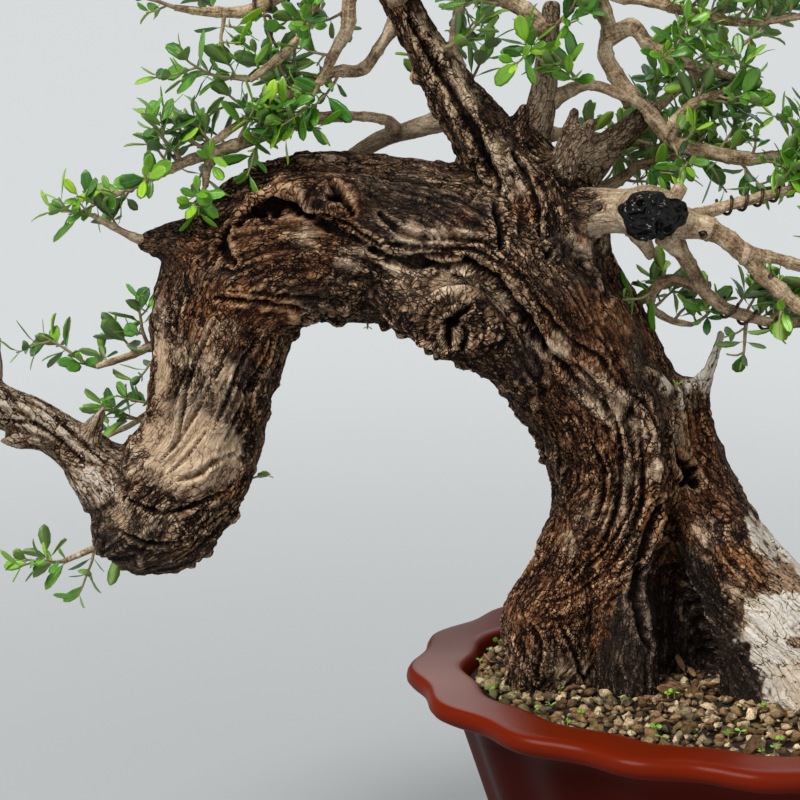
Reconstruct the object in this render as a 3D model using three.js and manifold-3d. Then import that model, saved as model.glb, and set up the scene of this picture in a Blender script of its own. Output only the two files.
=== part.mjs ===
// Olive bonsai: an old collected olive whose trunk arches out over the left of its pot and hooks
// down into dead wood, under a young leafy crown, in an oval lobed clay pot filled with grit.
// Millimetres, +Z up, +X to the right of the tree's front, +Y to its back.
import * as THREE from 'three';
import { mergeVertices } from 'three/addons/utils/BufferGeometryUtils.js';
import Module from 'manifold-3d';

const wasm = await Module();
wasm.setup();

// ---- Driving dimensions -------------------------------------------------------------------------

const SEAT_GAP = 0.3;

const POT = {
  length: 584,
  width: 440,
  height: 170,
  flangeWidth: 38,
  floorTop: 27,
  footHeight: 14,
  lobes: 20,
  lobeDepth: 3.5,
  wallFluteDepth: 2.6,
  sectors: 80,
};
const FOOT = { angles: [45, 135, 225, 315], halfSpan: 17, width: 26, inset: 8, sunk: 3, steps: 4 };
const DRAIN = { x: 105, radius: 15, sides: 14, meshSide: 46, meshThickness: 1.2, meshWindows: 2, meshBar: 3 };
const SOIL = { edgeBelowRim: 9, crown: 8, gritRelief: 2.4, rings: 5, sectors: POT.sectors / 2 };
const LEAF = { length: 21, width: 8.6, thickness: 1.4, clearance: 0.4 };
const TWIG = {
  stemRadius: 1.7,
  tipRadius: 0.8,
  sideRadius: 1.0,
  firstPair: 15,
  pairSpacing: 23,
  forkedBeyond: 50,
};
const PASTE = { centre: [-140, -70.2, 491], halfWidth: 21.5, halfHeight: 16, bulge: 8.6, sides: 14 };
const WIRE = { radius: 1.1, sides: 4, stepsPerTurn: 6 };

// ---- The tree's limbs -----------------------------------------------------------------------------

// Each limb has stations of [x, y, z, radius] along it. The pot's foot is at z = 0 and its centre
// at x = 0, y = 0. `sides` is the number of faces round the limb, `perSpan` the number of lofted
// lengths between two stations (1 if not given), and `depth` its thickness to the back over its
// width. Fluted limbs have the long ribs of old wood.

const LIMBS = {
  // The living trunk climbs from the left of the root mass, arches left and hooks down.
  trunk: {
    sides: 16, perSpan: 2, depth: 0.94, fluted: true,
    path: [
      [-174, 5, 96, 44], [-170, 5, 139, 54], [-168, 5, 186, 49], [-159, 5, 243, 42],
      [-150, 5, 296, 46], [-157, 5, 341, 52], [-182, 3, 384, 56], [-215, 0, 426, 60],
      [-263, -2, 453, 58], [-310, -5, 464, 53], [-366, -8, 464, 53], [-404, -10, 440, 52],
      [-419, -14, 400, 44], [-426, -18, 358, 40], [-440, -22, 318, 42], [-460, -26, 288, 44],
      [-480, -28, 268, 35], [-491, -28, 257, 20],
    ],
  },
  // Dead wood on the right of the base: a thick bleached root that ends in a spike.
  dead_root: {
    sides: 14, fluted: true,
    path: [
      [-108, 12, 366, 15], [-106, 10, 325, 22], [-97, 2, 285, 29], [-78, -10, 240, 41],
      [-50, -24, 190, 54], [-34, -30, 142, 64], [-28, -30, 104, 50],
    ],
  },
  spike: {
    sides: 7,
    path: [[-106, 10, 340, 15], [-100, 8, 364, 12], [-94, 5, 382, 8], [-88, 2, 405, 2.5]],
  },
  // The wood behind the hollow of the base, and the surface roots that spread into the soil.
  heart: {
    sides: 12, fluted: true,
    path: [[-112, 30, 100, 50], [-112, 28, 160, 48], [-116, 24, 230, 42], [-126, 18, 300, 38]],
  },
  root_left: {
    sides: 8,
    path: [[-178, -6, 206, 36], [-192, -12, 168, 35], [-206, -16, 136, 28], [-216, -20, 108, 18]],
  },
  root_front: {
    sides: 8,
    path: [[-150, -18, 226, 22], [-146, -36, 186, 20], [-146, -48, 148, 18], [-148, -56, 112, 12]],
  },
  root_back: {
    sides: 8,
    path: [[-140, 36, 235, 34], [-140, 62, 185, 30], [-140, 84, 140, 24], [-140, 98, 104, 16]],
  },
  root_right: {
    sides: 8,
    path: [[-24, -20, 190, 36], [18, -12, 160, 30], [50, -6, 128, 22], [66, -4, 104, 14]],
  },
  // A swollen burl round an old wound on the front of the bend.
  burl: {
    sides: 9,
    path: [
      [-334, -32, 446, 6], [-308, -38, 440, 18], [-276, -42, 426, 25], [-244, -42, 406, 24],
      [-222, -38, 384, 17], [-208, -32, 362, 6],
    ],
  },
  snag: { sides: 7, path: [[-425, -18, 456, 30], [-450, -22, 466, 16], [-471, -24, 466, 5]] },
  // The dead branch beyond the hook, with its short spurs.
  jin: {
    sides: 10,
    path: [
      [-474, -27, 290, 32], [-494, -28, 309, 25], [-514, -30, 329, 17], [-540, -32, 348, 15.5],
      [-566, -33, 360, 14.5], [-592, -30, 373, 11.5], [-613, -26, 393, 7], [-624, -24, 412, 2.5],
    ],
  },
  jin_spur_up: { sides: 4, path: [[-509, -34, 329, 10], [-501, -38, 347, 6.5], [-493, -42, 362, 2]] },
  jin_spur_low: { sides: 4, path: [[-531, -40, 338, 7], [-550, -46, 338, 5], [-566, -50, 341, 1.5]] },
  jin_spur_far: { sides: 4, path: [[-574, -30, 364, 8], [-567, -28, 382, 5], [-564, -26, 405, 1.8]] },
  // The apex limb leaves the shoulder of the arch, climbing to the left.
  apex: {
    sides: 10, fluted: true,
    path: [
      [-204, 0, 446, 38], [-204, 0, 472, 42], [-215, 0, 500, 33], [-241, 0, 528, 22],
      [-262, 4, 556, 17], [-281, 8, 586, 14.5], [-313, 16, 647, 11.5], [-320, 22, 680, 9.5],
      [-300, 30, 728, 5],
    ],
  },
  broken_top: {
    sides: 8,
    path: [
      [-205, 8, 485, 20], [-211, 10, 525, 13], [-207, 12, 550, 10.5], [-202, 17, 590, 7.6],
      [-200, 20, 620, 6.8],
    ],
  },
  two_prong: { sides: 4, path: [[-196, -14, 500, 10], [-188, -24, 524, 6.5], [-175, -33, 548, 4]] },
  black_cut: {
    sides: 8,
    path: [[-190, 2, 494, 15], [-168, 10, 521, 11.5], [-146, 14, 538, 8.6], [-132, 18, 553, 7]],
  },
  // The pale limb to the right, with the cut that is sealed with paste on its front.
  right_limb: {
    sides: 9,
    path: [
      [-195, -8, 480, 28], [-178, -24, 487, 17], [-157, -36, 489, 15], [-137, -42, 488, 15.5],
      [-118, -44, 483, 11],
    ],
  },
  cut_stub: {
    sides: 10, depth: 1.32,
    path: [[-140, -38, 491, 16], [-140, -52, 491, 17], [-140, -64, 491, 16.5]],
  },
  right_low: {
    sides: 6,
    path: [
      [-122, -46, 483, 8.5], [-99, -50, 478, 7.2], [-78, -52, 463, 6.6], [-62, -54, 446, 5.8],
      [-42, -56, 429, 5.6], [-10, -56, 415, 5], [30, -48, 416, 4.2], [68, -36, 428, 3],
    ],
  },
  right_mid: {
    sides: 4,
    path: [
      [-80, -52, 464, 5.4], [-59, -50, 460, 4.6], [-30, -46, 454, 4], [5, -38, 462, 3.6],
      [45, -24, 478, 2.8],
    ],
  },
  right_under: {
    sides: 5,
    path: [
      [-126, -42, 475, 8], [-117, -38, 462, 6], [-109, -32, 450, 5.4], [-98, -27, 432, 5.2],
      [-79, -24, 420, 4.6], [-48, -20, 412, 4], [-8, -8, 414, 3.6], [34, 14, 424, 2.8],
    ],
  },
  wired_low: {
    sides: 4,
    path: [
      [-99, -28, 436, 4.6], [-119, -12, 440, 4.2], [-130, -3, 433, 4], [-132, 2, 420, 3.4],
      [-119, 6, 410, 2.8], [-104, 8, 406, 2],
    ],
  },
  right_stub: { sides: 4, path: [[-128, -38, 490, 7], [-122, -32, 498, 5], [-117, -30, 505, 4]] },
  right_wired: {
    sides: 4,
    path: [
      [-118, -42, 483, 6], [-98, -34, 489, 4.4], [-72, -28, 495, 3.8], [-42, -22, 502, 3.3],
      [0, -12, 512, 2.8], [42, 2, 522, 2.2],
    ],
  },
  under_stub: { sides: 4, path: [[-146, -32, 478, 7], [-140, -27, 466, 5], [-135, -24, 457, 3.8]] },
  // Branches of the right-hand crown.
  back_shelf: {
    sides: 5,
    path: [
      [-200, 16, 556, 6], [-176, 2, 567, 4], [-152, 0, 559, 4.4], [-138, 2, 552, 5.5],
      [-120, 4, 531, 6.4], [-100, 0, 523, 6.2], [-64, -6, 520, 4.6], [-20, -2, 528, 3.8],
      [24, 8, 540, 2.8],
    ],
  },
  back_fork: {
    sides: 4,
    path: [[-124, 4, 534, 5], [-114, 0, 549, 3.8], [-104, -4, 557, 3.4], [-88, -8, 564, 2.4]],
  },
  riser: {
    sides: 5,
    path: [
      [-146, 6, 556, 6], [-156, 14, 570, 6], [-164, 20, 586, 6], [-162, 25, 606, 5.6],
      [-172, 28, 634, 5], [-186, 28, 664, 4.4], [-196, 24, 694, 3.4],
    ],
  },
  cut_shelf: {
    sides: 4,
    path: [
      [-163, 23, 598, 5.6], [-146, 16, 603, 6.2], [-136, 11, 593, 5.4], [-118, 6, 583, 4.5],
      [-99, 2, 576, 3.8], [-82, 0, 572, 3.4],
    ],
  },
  high_shelf: {
    sides: 4,
    path: [
      [-174, 28, 636, 5], [-155, 23, 624, 4.8], [-130, 18, 619, 4.4], [-100, 11, 611, 3.8],
      [-70, 6, 607, 3], [-36, 2, 612, 2.4],
    ],
  },
  cross_twig: {
    sides: 4,
    path: [
      [-205, 14, 534, 5], [-180, 30, 531, 4.6], [-160, 42, 527, 4], [-142, 46, 524, 4],
      [-126, 42, 522, 3], [-100, 32, 522, 2],
    ],
  },
  low_shelf: {
    sides: 4,
    path: [[-170, 26, 492, 6], [-150, 28, 503, 4], [-136, 24, 513, 3.4], [-112, 18, 519, 2.6]],
  },
  // Branches of the left-hand crown.
  upper_left: {
    sides: 4,
    path: [
      [-300, 16, 612, 6], [-310, 17, 596, 4.6], [-325, 14, 576, 4.4], [-343, 8, 575, 4.4],
      [-362, 2, 566, 4], [-381, -4, 557, 3.8], [-403, -8, 544, 3.2], [-428, -14, 527, 2.2],
    ],
  },
  pale_left: {
    sides: 7,
    path: [
      [-252, 18, 546, 10], [-272, 28, 541, 8], [-295, 42, 533, 6.6], [-316, 50, 525, 6.2],
      [-338, 42, 510, 6.4],
    ],
  },
  long_left: {
    sides: 5,
    path: [
      [-303, 42, 532, 5], [-311, 26, 542, 4], [-342, 10, 546, 4], [-370, 4, 541, 4.4],
      [-400, -5, 531, 5], [-415, -8, 526, 5], [-446, -14, 516, 3.9], [-479, -20, 501, 2.6],
    ],
  },
  left_drop: { sides: 4, path: [[-420, -9, 524, 4.4], [-426, -15, 514, 3.6], [-427, -20, 503, 2.4]] },
  top_left: {
    sides: 4,
    path: [
      [-311, 16, 652, 6.5], [-333, 13, 642, 5.4], [-362, 8, 632, 4.6], [-398, 0, 616, 4.2],
      [-424, -4, 615, 3.6], [-446, -8, 618, 2.6],
    ],
  },
  left_hanger: {
    sides: 5,
    path: [
      [-330, 13, 645, 5], [-333, 8, 622, 5.4], [-335, 4, 604, 5], [-343, 0, 588, 4.2],
      [-353, -4, 568, 3],
    ],
  },
  left_sweep: {
    sides: 4,
    path: [
      [-350, 9, 636, 4], [-355, 6, 620, 3.6], [-364, 1, 600, 3.4], [-380, -4, 584, 3.2],
      [-398, -8, 571, 2.4],
    ],
  },
  snag_twig: {
    sides: 4,
    path: [[-464, -24, 466, 4], [-478, -28, 473, 2.8], [-488, -32, 479, 2.6], [-499, -36, 486, 1.9]],
  },
  // Thin shoots from the back of the hook.
  hook_high: {
    sides: 4,
    path: [
      [-425, 8, 392, 8], [-438, 34, 388, 4.4], [-464, 48, 386, 4], [-488, 52, 376, 3],
      [-510, 54, 368, 2.2],
    ],
  },
  hook_mid: {
    sides: 4,
    path: [
      [-430, 6, 360, 8], [-444, 32, 352, 3.8], [-466, 48, 342, 3], [-486, 54, 328, 2.2],
      [-504, 56, 318, 1.5],
    ],
  },
  hook_low: {
    sides: 4,
    path: [[-462, 4, 276, 10], [-484, 28, 258, 3.6], [-512, 42, 242, 2.8], [-536, 48, 230, 2.2]],
  },
  crown_mid: {
    sides: 4,
    path: [
      [-202, 17, 600, 6.5], [-222, 28, 617, 6.2], [-243, 36, 628, 5.4], [-263, 40, 642, 4.4],
      [-282, 44, 662, 3],
    ],
  },
  // The unseen crown: limbs that carry it up, to the back and to the right.
  crown_left: {
    sides: 4,
    path: [[-318, 20, 672, 6], [-340, 34, 690, 4.8], [-366, 46, 702, 3.8], [-396, 52, 708, 2.6]],
  },
  crown_right: {
    sides: 4,
    path: [[-312, 27, 704, 6], [-290, 14, 716, 4.6], [-262, 4, 728, 3.8], [-232, -2, 734, 2.6]],
  },
  crown_back: {
    sides: 5,
    path: [
      [-236, 8, 522, 12], [-250, 42, 548, 7], [-262, 74, 580, 5.4], [-258, 98, 616, 4.2],
      [-240, 112, 650, 3],
    ],
  },
  crown_back_right: {
    sides: 5,
    path: [
      [-186, 18, 486, 16], [-168, 52, 508, 7.5], [-140, 82, 530, 5.6], [-106, 100, 556, 4.2],
      [-66, 108, 582, 3],
    ],
  },
  crown_front: {
    sides: 4,
    path: [[-302, 8, 620, 8], [-300, -18, 646, 5], [-290, -44, 668, 4], [-272, -64, 684, 2.8]],
  },
};

// Rotted hollows and weathered grooves that are cut into the wood.
const HOLLOWS = {
  base: {
    sides: 9,
    path: [
      [-124, -22, 262, 6], [-118, -26, 238, 15], [-106, -30, 208, 25], [-100, -34, 180, 31],
      [-99, -34, 172, 30],
    ],
  },
  arch: {
    sides: 7,
    path: [
      [-394, -45, 488, 5], [-374, -49, 492, 10], [-354, -53, 486, 10], [-333, -58, 474, 8],
      [-312, -60, 464, 5],
    ],
  },
  long_groove: {
    sides: 5,
    path: [
      [-300, -60, 464, 5], [-252, -60, 444, 9], [-222, -58, 412, 9], [-198, -56, 374, 8],
      [-170, -46, 334, 5],
    ],
  },
};

// Leafy sprays: [limb, place along it from 0 to 1, direction, length of the main shoot].
const SPRAYS = [
  ['long_left', 1, [-0.8, -0.2, -0.45], 42], ['long_left', 0.84, [-0.4, -0.3, 0.9], 40],
  ['long_left', 0.62, [0.2, -0.7, 0.7], 34], ['left_drop', 1, [-0.2, -0.6, -0.6], 30],
  ['snag_twig', 1, [-0.7, -0.3, 0.1], 30], ['upper_left', 0.62, [-0.2, -0.6, -0.7], 34],
  ['upper_left', 1, [-0.8, -0.1, 0.5], 36], ['left_sweep', 1, [-0.9, 0, 0.1], 56],
  ['left_sweep', 0.5, [0.2, -0.8, 0.5], 36], ['left_hanger', 1, [-0.4, -0.5, -0.7], 44],
  ['top_left', 1, [-0.8, 0, 0.2], 30], ['top_left', 0.72, [-0.1, -0.4, -0.9], 28],
  ['top_left', 0.4, [-0.3, -0.2, 0.9], 46], ['apex', 0.62, [0.7, -0.5, 0.3], 40],
  ['broken_top', 0.72, [-0.5, -0.7, 0.1], 44], ['broken_top', 0.86, [0.5, -0.6, 0.5], 42],
  ['back_shelf', 0.1, [-0.1, -0.8, 0.5], 40], ['back_shelf', 1, [0.9, 0, 0.3], 56],
  ['back_shelf', 0.82, [0.2, -0.4, 0.9], 40], ['back_fork', 1, [0.6, -0.3, 0.5], 34],
  ['riser', 1, [0.1, -0.2, 0.9], 54], ['cut_shelf', 0.7, [0.3, -0.3, -0.9], 26],
  ['high_shelf', 0.5, [0.2, -0.6, 0.8], 42], ['high_shelf', 1, [0.8, -0.1, 0.1], 48],
  ['low_shelf', 1, [0.7, -0.1, 0.1], 36], ['right_wired', 0.66, [0.1, -0.5, 0.9], 42],
  ['right_wired', 1, [0.9, 0, 0.3], 56], ['right_mid', 1, [0.9, 0.1, 0.3], 58],
  ['right_low', 1, [0.9, 0, 0.3], 58], ['right_low', 0.72, [0.2, -0.6, -0.6], 38],
  ['right_under', 1, [0.9, 0.2, 0.1], 56], ['right_under', 0.62, [0.1, 0.3, -0.8], 34],
  ['wired_low', 1, [0.7, -0.4, -0.2], 34], ['hook_high', 1, [-0.8, 0, 0.4], 44],
  ['hook_high', 0.6, [-0.3, 0, 0.9], 34], ['hook_low', 1, [-0.8, 0, -0.3], 36],
  ['crown_left', 1, [-0.8, 0.1, 0.4], 58], ['crown_right', 1, [0.8, -0.2, 0.4], 60],
  ['apex', 1, [0.1, 0, 0.9], 44], ['crown_back', 1, [0.3, 0.4, 0.8], 60],
  ['crown_back_right', 1, [0.8, 0.2, 0.4], 60], ['crown_front', 1, [0.3, -0.6, 0.6], 54],
];

// ---- Materials ------------------------------------------------------------------------------------

const bark = () => new THREE.MeshStandardMaterial({ color: 0x5a4230, roughness: 0.95, metalness: 0 });
const grit = () => new THREE.MeshStandardMaterial({ color: 0x8c7358, roughness: 0.98, metalness: 0 });
const clay = () => new THREE.MeshStandardMaterial({ color: 0x7a2a18, roughness: 0.45, metalness: 0 });
const foliage = () => new THREE.MeshStandardMaterial({ color: 0x2f6a26, roughness: 0.4, metalness: 0 });
const paste = () => new THREE.MeshStandardMaterial({ color: 0x14110f, roughness: 0.3, metalness: 0 });
const wireMetal = () => new THREE.MeshStandardMaterial({ color: 0x3a2419, roughness: 0.4, metalness: 0.9 });
const meshPlastic = () => new THREE.MeshStandardMaterial({ color: 0x1f2420, roughness: 0.6, metalness: 0 });

// ---- Small helpers --------------------------------------------------------------------------------

const vec = (x, y, z) => new THREE.Vector3(x, y, z);

// A repeatable value from 0 to 1 for each whole number, used wherever growth varies.
function chance(seed) {
  const value = Math.sin(seed * 12.9898 + 4.1414) * 43758.5453;
  return value - Math.floor(value);
}

function swing(seed, size) {
  return (chance(seed) * 2 - 1) * size;
}

function geometryFrom(points, triangles) {
  const geometry = new THREE.BufferGeometry();
  const numbers = points.flatMap((p) => [p.x, p.y, p.z]);
  geometry.setAttribute('position', new THREE.Float32BufferAttribute(numbers, 3));
  geometry.setIndex(triangles.flat());
  return geometry;
}

function toSolid(geometry) {
  const bare = geometry.clone();
  bare.deleteAttribute('normal');
  bare.deleteAttribute('uv');
  const merged = mergeVertices(bare, 1e-4);
  return new wasm.Manifold(new wasm.Mesh({
    numProp: 3,
    vertProperties: Float32Array.from(merged.attributes.position.array),
    triVerts: Uint32Array.from(merged.index.array),
  }));
}

function toGeometry(solid) {
  const { vertProperties, triVerts, numProp } = solid.getMesh();
  const geometry = new THREE.BufferGeometry();
  const corners = new Float32Array((vertProperties.length / numProp) * 3);
  for (let i = 0; i < corners.length / 3; i += 1) {
    corners.set(vertProperties.subarray(i * numProp, i * numProp + 3), i * 3);
  }
  geometry.setAttribute('position', new THREE.BufferAttribute(corners, 3));
  geometry.setIndex(new THREE.BufferAttribute(Uint32Array.from(triVerts), 1));
  return geometry;
}

const join = (solids) => solids.reduce((sum, next) => sum.add(next));

// A closed skin over rings of points, with a point at each end. The rings run anticlockwise
// as seen from the far end.
function skinRings(rings, startPoint, endPoint) {
  const count = rings[0].length;
  const points = [...rings.flat(), startPoint, endPoint];
  const start = points.length - 2;
  const end = points.length - 1;
  const last = (rings.length - 1) * count;
  const triangles = [];
  for (let k = 0; k < count; k += 1) {
    const next = (k + 1) % count;
    triangles.push([start, next, k]);
    triangles.push([end, last + k, last + next]);
    for (let r = 0; r < rings.length - 1; r += 1) {
      const low = r * count;
      const high = low + count;
      triangles.push([low + k, low + next, high + next], [low + k, high + next, high + k]);
    }
  }
  return geometryFrom(points, triangles);
}

// ---- Limbs ----------------------------------------------------------------------------------------

const stepsOf = ({ path, perSpan = 1 }) => (path.length - 1) * perSpan;
const smooth = (points) => new THREE.CatmullRomCurve3(points, false, 'catmullrom', 0.5);
const limbLine = ({ path }) => smooth(path.map(([x, y, z]) => vec(x, y, z)));
const limbRadius = ({ path }, u) => smooth(path.map(([, , , r]) => vec(r, 0, 0))).getPoint(u).x;

// Long ribs of the old wood: the radius rises and falls round the limb and drifts along it.
function ribs(angle, u) {
  return 1 + 0.055 * Math.sin(3 * angle + 5 * u + 0.6)
    + 0.045 * Math.sin(5 * angle - 7 * u)
    + 0.03 * Math.sin(8 * angle + 9 * u + 2);
}

// A limb as a loft of rings along its line, with blunt ends. `grow` offsets its surface.
function limbSolid(limb, grow = 0) {
  const { sides, depth = 1, fluted = false } = limb;
  const line = limbLine(limb);
  const steps = stepsOf(limb);
  const rings = [];
  let across = null;
  for (let i = 0; i <= steps; i += 1) {
    const u = i / steps;
    const tangent = line.getTangent(u);
    if (!across) across = Math.abs(tangent.y) < 0.8 ? vec(0, 1, 0) : vec(1, 0, 0);
    across.addScaledVector(tangent, -across.dot(tangent)).normalize();
    const side = tangent.clone().cross(across);
    const centre = line.getPoint(u);
    const radius = limbRadius(limb, u);
    const ring = [];
    for (let k = 0; k < sides; k += 1) {
      const angle = (k / sides) * 2 * Math.PI;
      const reach = radius * (fluted ? ribs(angle, u) : 1) + grow;
      ring.push(centre.clone()
        .addScaledVector(side, reach * Math.cos(angle))
        .addScaledVector(across, -reach * depth * Math.sin(angle)));
    }
    rings.push(ring);
  }
  const bluntness = 0.35;
  const endPoint = (u, sign) => line.getPoint(u)
    .addScaledVector(line.getTangent(u), sign * (bluntness * limbRadius(limb, u) + grow));
  return toSolid(skinRings(rings, endPoint(0, -1), endPoint(1, 1)));
}

const wood = join(Object.values(LIMBS).map((limb) => limbSolid(limb)))
  .subtract(join(Object.values(HOLLOWS).map((hollow) => limbSolid(hollow))));

// ---- Pot ------------------------------------------------------------------------------------------

const RIM = { x: POT.length / 2, y: POT.width / 2 };
const OVAL_DIFFERENCE = RIM.x - RIM.y;

// Directions round the oval, spaced evenly along its rim, so that the lobes are equally wide.
function evenAngles(count) {
  const fine = 7200;
  const at = (a) => vec(RIM.x * Math.cos(a), RIM.y * Math.sin(a), 0);
  const lengths = [0];
  for (let i = 1; i <= fine; i += 1) {
    const a = (i / fine) * 2 * Math.PI;
    const b = ((i - 1) / fine) * 2 * Math.PI;
    lengths.push(lengths[i - 1] + at(a).distanceTo(at(b)));
  }
  const angles = [];
  let i = 0;
  for (let k = 0; k < count; k += 1) {
    while (lengths[i] < (lengths[fine] * k) / count) i += 1;
    angles.push((i / fine) * 2 * Math.PI);
  }
  return angles;
}

// One level of the pot: an oval of half-length `reach`, waved by its lobes.
function ovalRing(reach, z, wave, count = POT.sectors) {
  return evenAngles(count).map((angle, k) => {
    const lobe = wave * Math.cos((k / count) * POT.lobes * 2 * Math.PI);
    return vec((reach + lobe) * Math.cos(angle), (reach - OVAL_DIFFERENCE + lobe) * Math.sin(angle), z);
  });
}

const WALL = { baseReach: 217, topReach: 263, topZ: 152, innerFloor: 207 };
const between = (z, lowZ, low, highZ, high) => low + ((high - low) * (z - lowZ)) / (highZ - lowZ);
const wallReach = (z) => between(z, POT.footHeight, WALL.baseReach, WALL.topZ, WALL.topReach);
const innerReach = (z) => between(z, POT.floorTop, WALL.innerFloor, POT.height - 4, RIM.x - POT.flangeWidth);

function potSolid() {
  const { lobeDepth, wallFluteDepth: flute, height } = POT;
  const levels = [
    [WALL.baseReach, POT.footHeight, flute],
    [WALL.topReach, WALL.topZ, flute],
    [RIM.x - 7, WALL.topZ + 2, lobeDepth],
    [RIM.x, height - 9, lobeDepth],
    [RIM.x - 4, height - 1, lobeDepth],
    [RIM.x - POT.flangeWidth + 4, height, flute],
    [innerReach(height - 4), height - 4, flute],
    [innerReach(POT.floorTop + 6), POT.floorTop + 6, flute],
    [innerReach(POT.floorTop) - 8, POT.floorTop, flute],
  ];
  const rings = levels.map(([reach, z, wave]) => ovalRing(reach, z, wave));
  const shell = toSolid(skinRings(rings, vec(0, 0, POT.footHeight), vec(0, 0, POT.floorTop)));
  const feet = FOOT.angles.map((middle) => footSolid(middle));
  const holeHeight = 2 * POT.floorTop;
  const holes = [-1, 1].map((sign) => toSolid(
    new THREE.CylinderGeometry(DRAIN.radius, DRAIN.radius, holeHeight, DRAIN.sides)
      .rotateX(Math.PI / 2)
      .translate(sign * DRAIN.x, 0, POT.floorTop),
  ));
  return join([shell, ...feet]).subtract(join(holes));
}

// A foot: a short curved block under the edge of the base.
function footSolid(middleDegrees) {
  const { halfSpan, width, inset, sunk, steps } = FOOT;
  const outer = WALL.baseReach - inset;
  const innerSpan = halfSpan - 2;
  const edge = (reach, from, to) => Array.from({ length: steps + 1 }, (_, i) => {
    const a = THREE.MathUtils.degToRad(middleDegrees + from + ((to - from) * i) / steps);
    return new THREE.Vector2(reach * Math.cos(a), (reach - OVAL_DIFFERENCE) * Math.sin(a));
  });
  const outline = [...edge(outer, -halfSpan, halfSpan), ...edge(outer - width, innerSpan, -innerSpan)];
  const block = { depth: POT.footHeight + sunk, bevelEnabled: false };
  return toSolid(new THREE.ExtrudeGeometry(new THREE.Shape(outline), block));
}

// ---- Soil and drain meshes ------------------------------------------------------------------------

const box = (x, y, z) => new THREE.BoxGeometry(x, y, z);

// A plastic mesh over a drain hole: a square plate with square windows.
function drainMesh(sign) {
  const { meshSide: side, meshWindows: windows, meshBar: bar, meshThickness } = DRAIN;
  const pitch = (side - bar) / windows;
  const cells = [];
  for (let i = 0; i < windows; i += 1) {
    for (let j = 0; j < windows; j += 1) {
      const place = (n) => -side / 2 + bar / 2 + (n + 0.5) * pitch;
      cells.push(toSolid(box(pitch - bar, pitch - bar, 4 * meshThickness).translate(place(i), place(j), 0)));
    }
  }
  const plate = toSolid(box(side, side, meshThickness)).subtract(join(cells));
  return plate.translate([sign * DRAIN.x, 0, POT.floorTop + SEAT_GAP + meshThickness / 2]);
}

// The soil fills the pot. Its top rises to the trunk and is rough with grit.
function soilSolid() {
  const { rings, sectors, crown, gritRelief, edgeBelowRim } = SOIL;
  const edgeZ = POT.height - edgeBelowRim;
  const bottom = POT.floorTop + SEAT_GAP;
  const bottomEdge = 9;
  const wallGap = 0.3;
  const beside = (z, inset) => ovalRing(innerReach(z) - SEAT_GAP - inset, z, POT.wallFluteDepth, sectors);
  const levels = [beside(bottom, bottomEdge), beside(bottom + 6.5, wallGap), beside(edgeZ - 2, wallGap)];
  const firstRing = 0.35;
  for (let r = 0; r < rings; r += 1) {
    const share = 1 - (r + firstRing) / rings;
    const height = edgeZ + crown * (1 - share * share);
    levels.push(ovalRing(innerReach(edgeZ) - 1, 0, 0, sectors).map((p, k) => {
      const seed = (r * sectors + k) * 3;
      const x = p.x * share + swing(seed, gritRelief);
      const y = p.y * share + swing(seed + 1, gritRelief);
      return vec(x, y, height + swing(seed + 2, gritRelief));
    }));
  }
  const body = toSolid(skinRings(levels, vec(0, 0, bottom), vec(0, 0, edgeZ + crown)));
  const meshRoom = DRAIN.meshSide + 2 * SEAT_GAP;
  const meshHeight = 2 * (DRAIN.meshThickness + SEAT_GAP);
  const rooms = [-1, 1].map((sign) => toSolid(
    box(meshRoom, meshRoom, meshHeight).translate(sign * DRAIN.x, 0, bottom),
  ));
  const rootRoom = 0.5;
  const footed = Object.values(LIMBS).filter(({ path }) => path.some(([, , z]) => z < POT.height));
  return body
    .subtract(join(footed.map((limb) => limbSolid(limb, rootRoom))))
    .subtract(join(rooms));
}

// ---- Paste and wires ------------------------------------------------------------------------------

// The dome of black paste over the cut on the right-hand limb.
function pasteSolid() {
  const { centre: [x, y, z], halfWidth, halfHeight, bulge, sides } = PASTE;
  const layer = ([depth, scale]) => Array.from({ length: sides }, (_, k) => {
    const angle = (k / sides) * 2 * Math.PI;
    const lump = scale * (1 + 0.06 * Math.sin(3 * angle + 1) + 0.04 * Math.sin(5 * angle));
    return vec(x + halfWidth * lump * Math.cos(angle), y - depth, z + halfHeight * lump * Math.sin(angle));
  });
  const depthsAndScales = [[0, 0.94], [0.23 * bulge, 1], [0.6 * bulge, 0.9], [0.93 * bulge, 0.6]];
  return toSolid(skinRings(depthsAndScales.map(layer), vec(x, y, z), vec(x, y - bulge, z)));
}

// The middle of a limb's solid, which runs straight from ring to ring.
function coreOf(limb, u) {
  const steps = stepsOf(limb);
  const ring = Math.min(Math.floor(u * steps), steps - 1);
  const line = limbLine(limb);
  return line.getPoint(ring / steps).lerp(line.getPoint((ring + 1) / steps), u * steps - ring);
}

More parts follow.
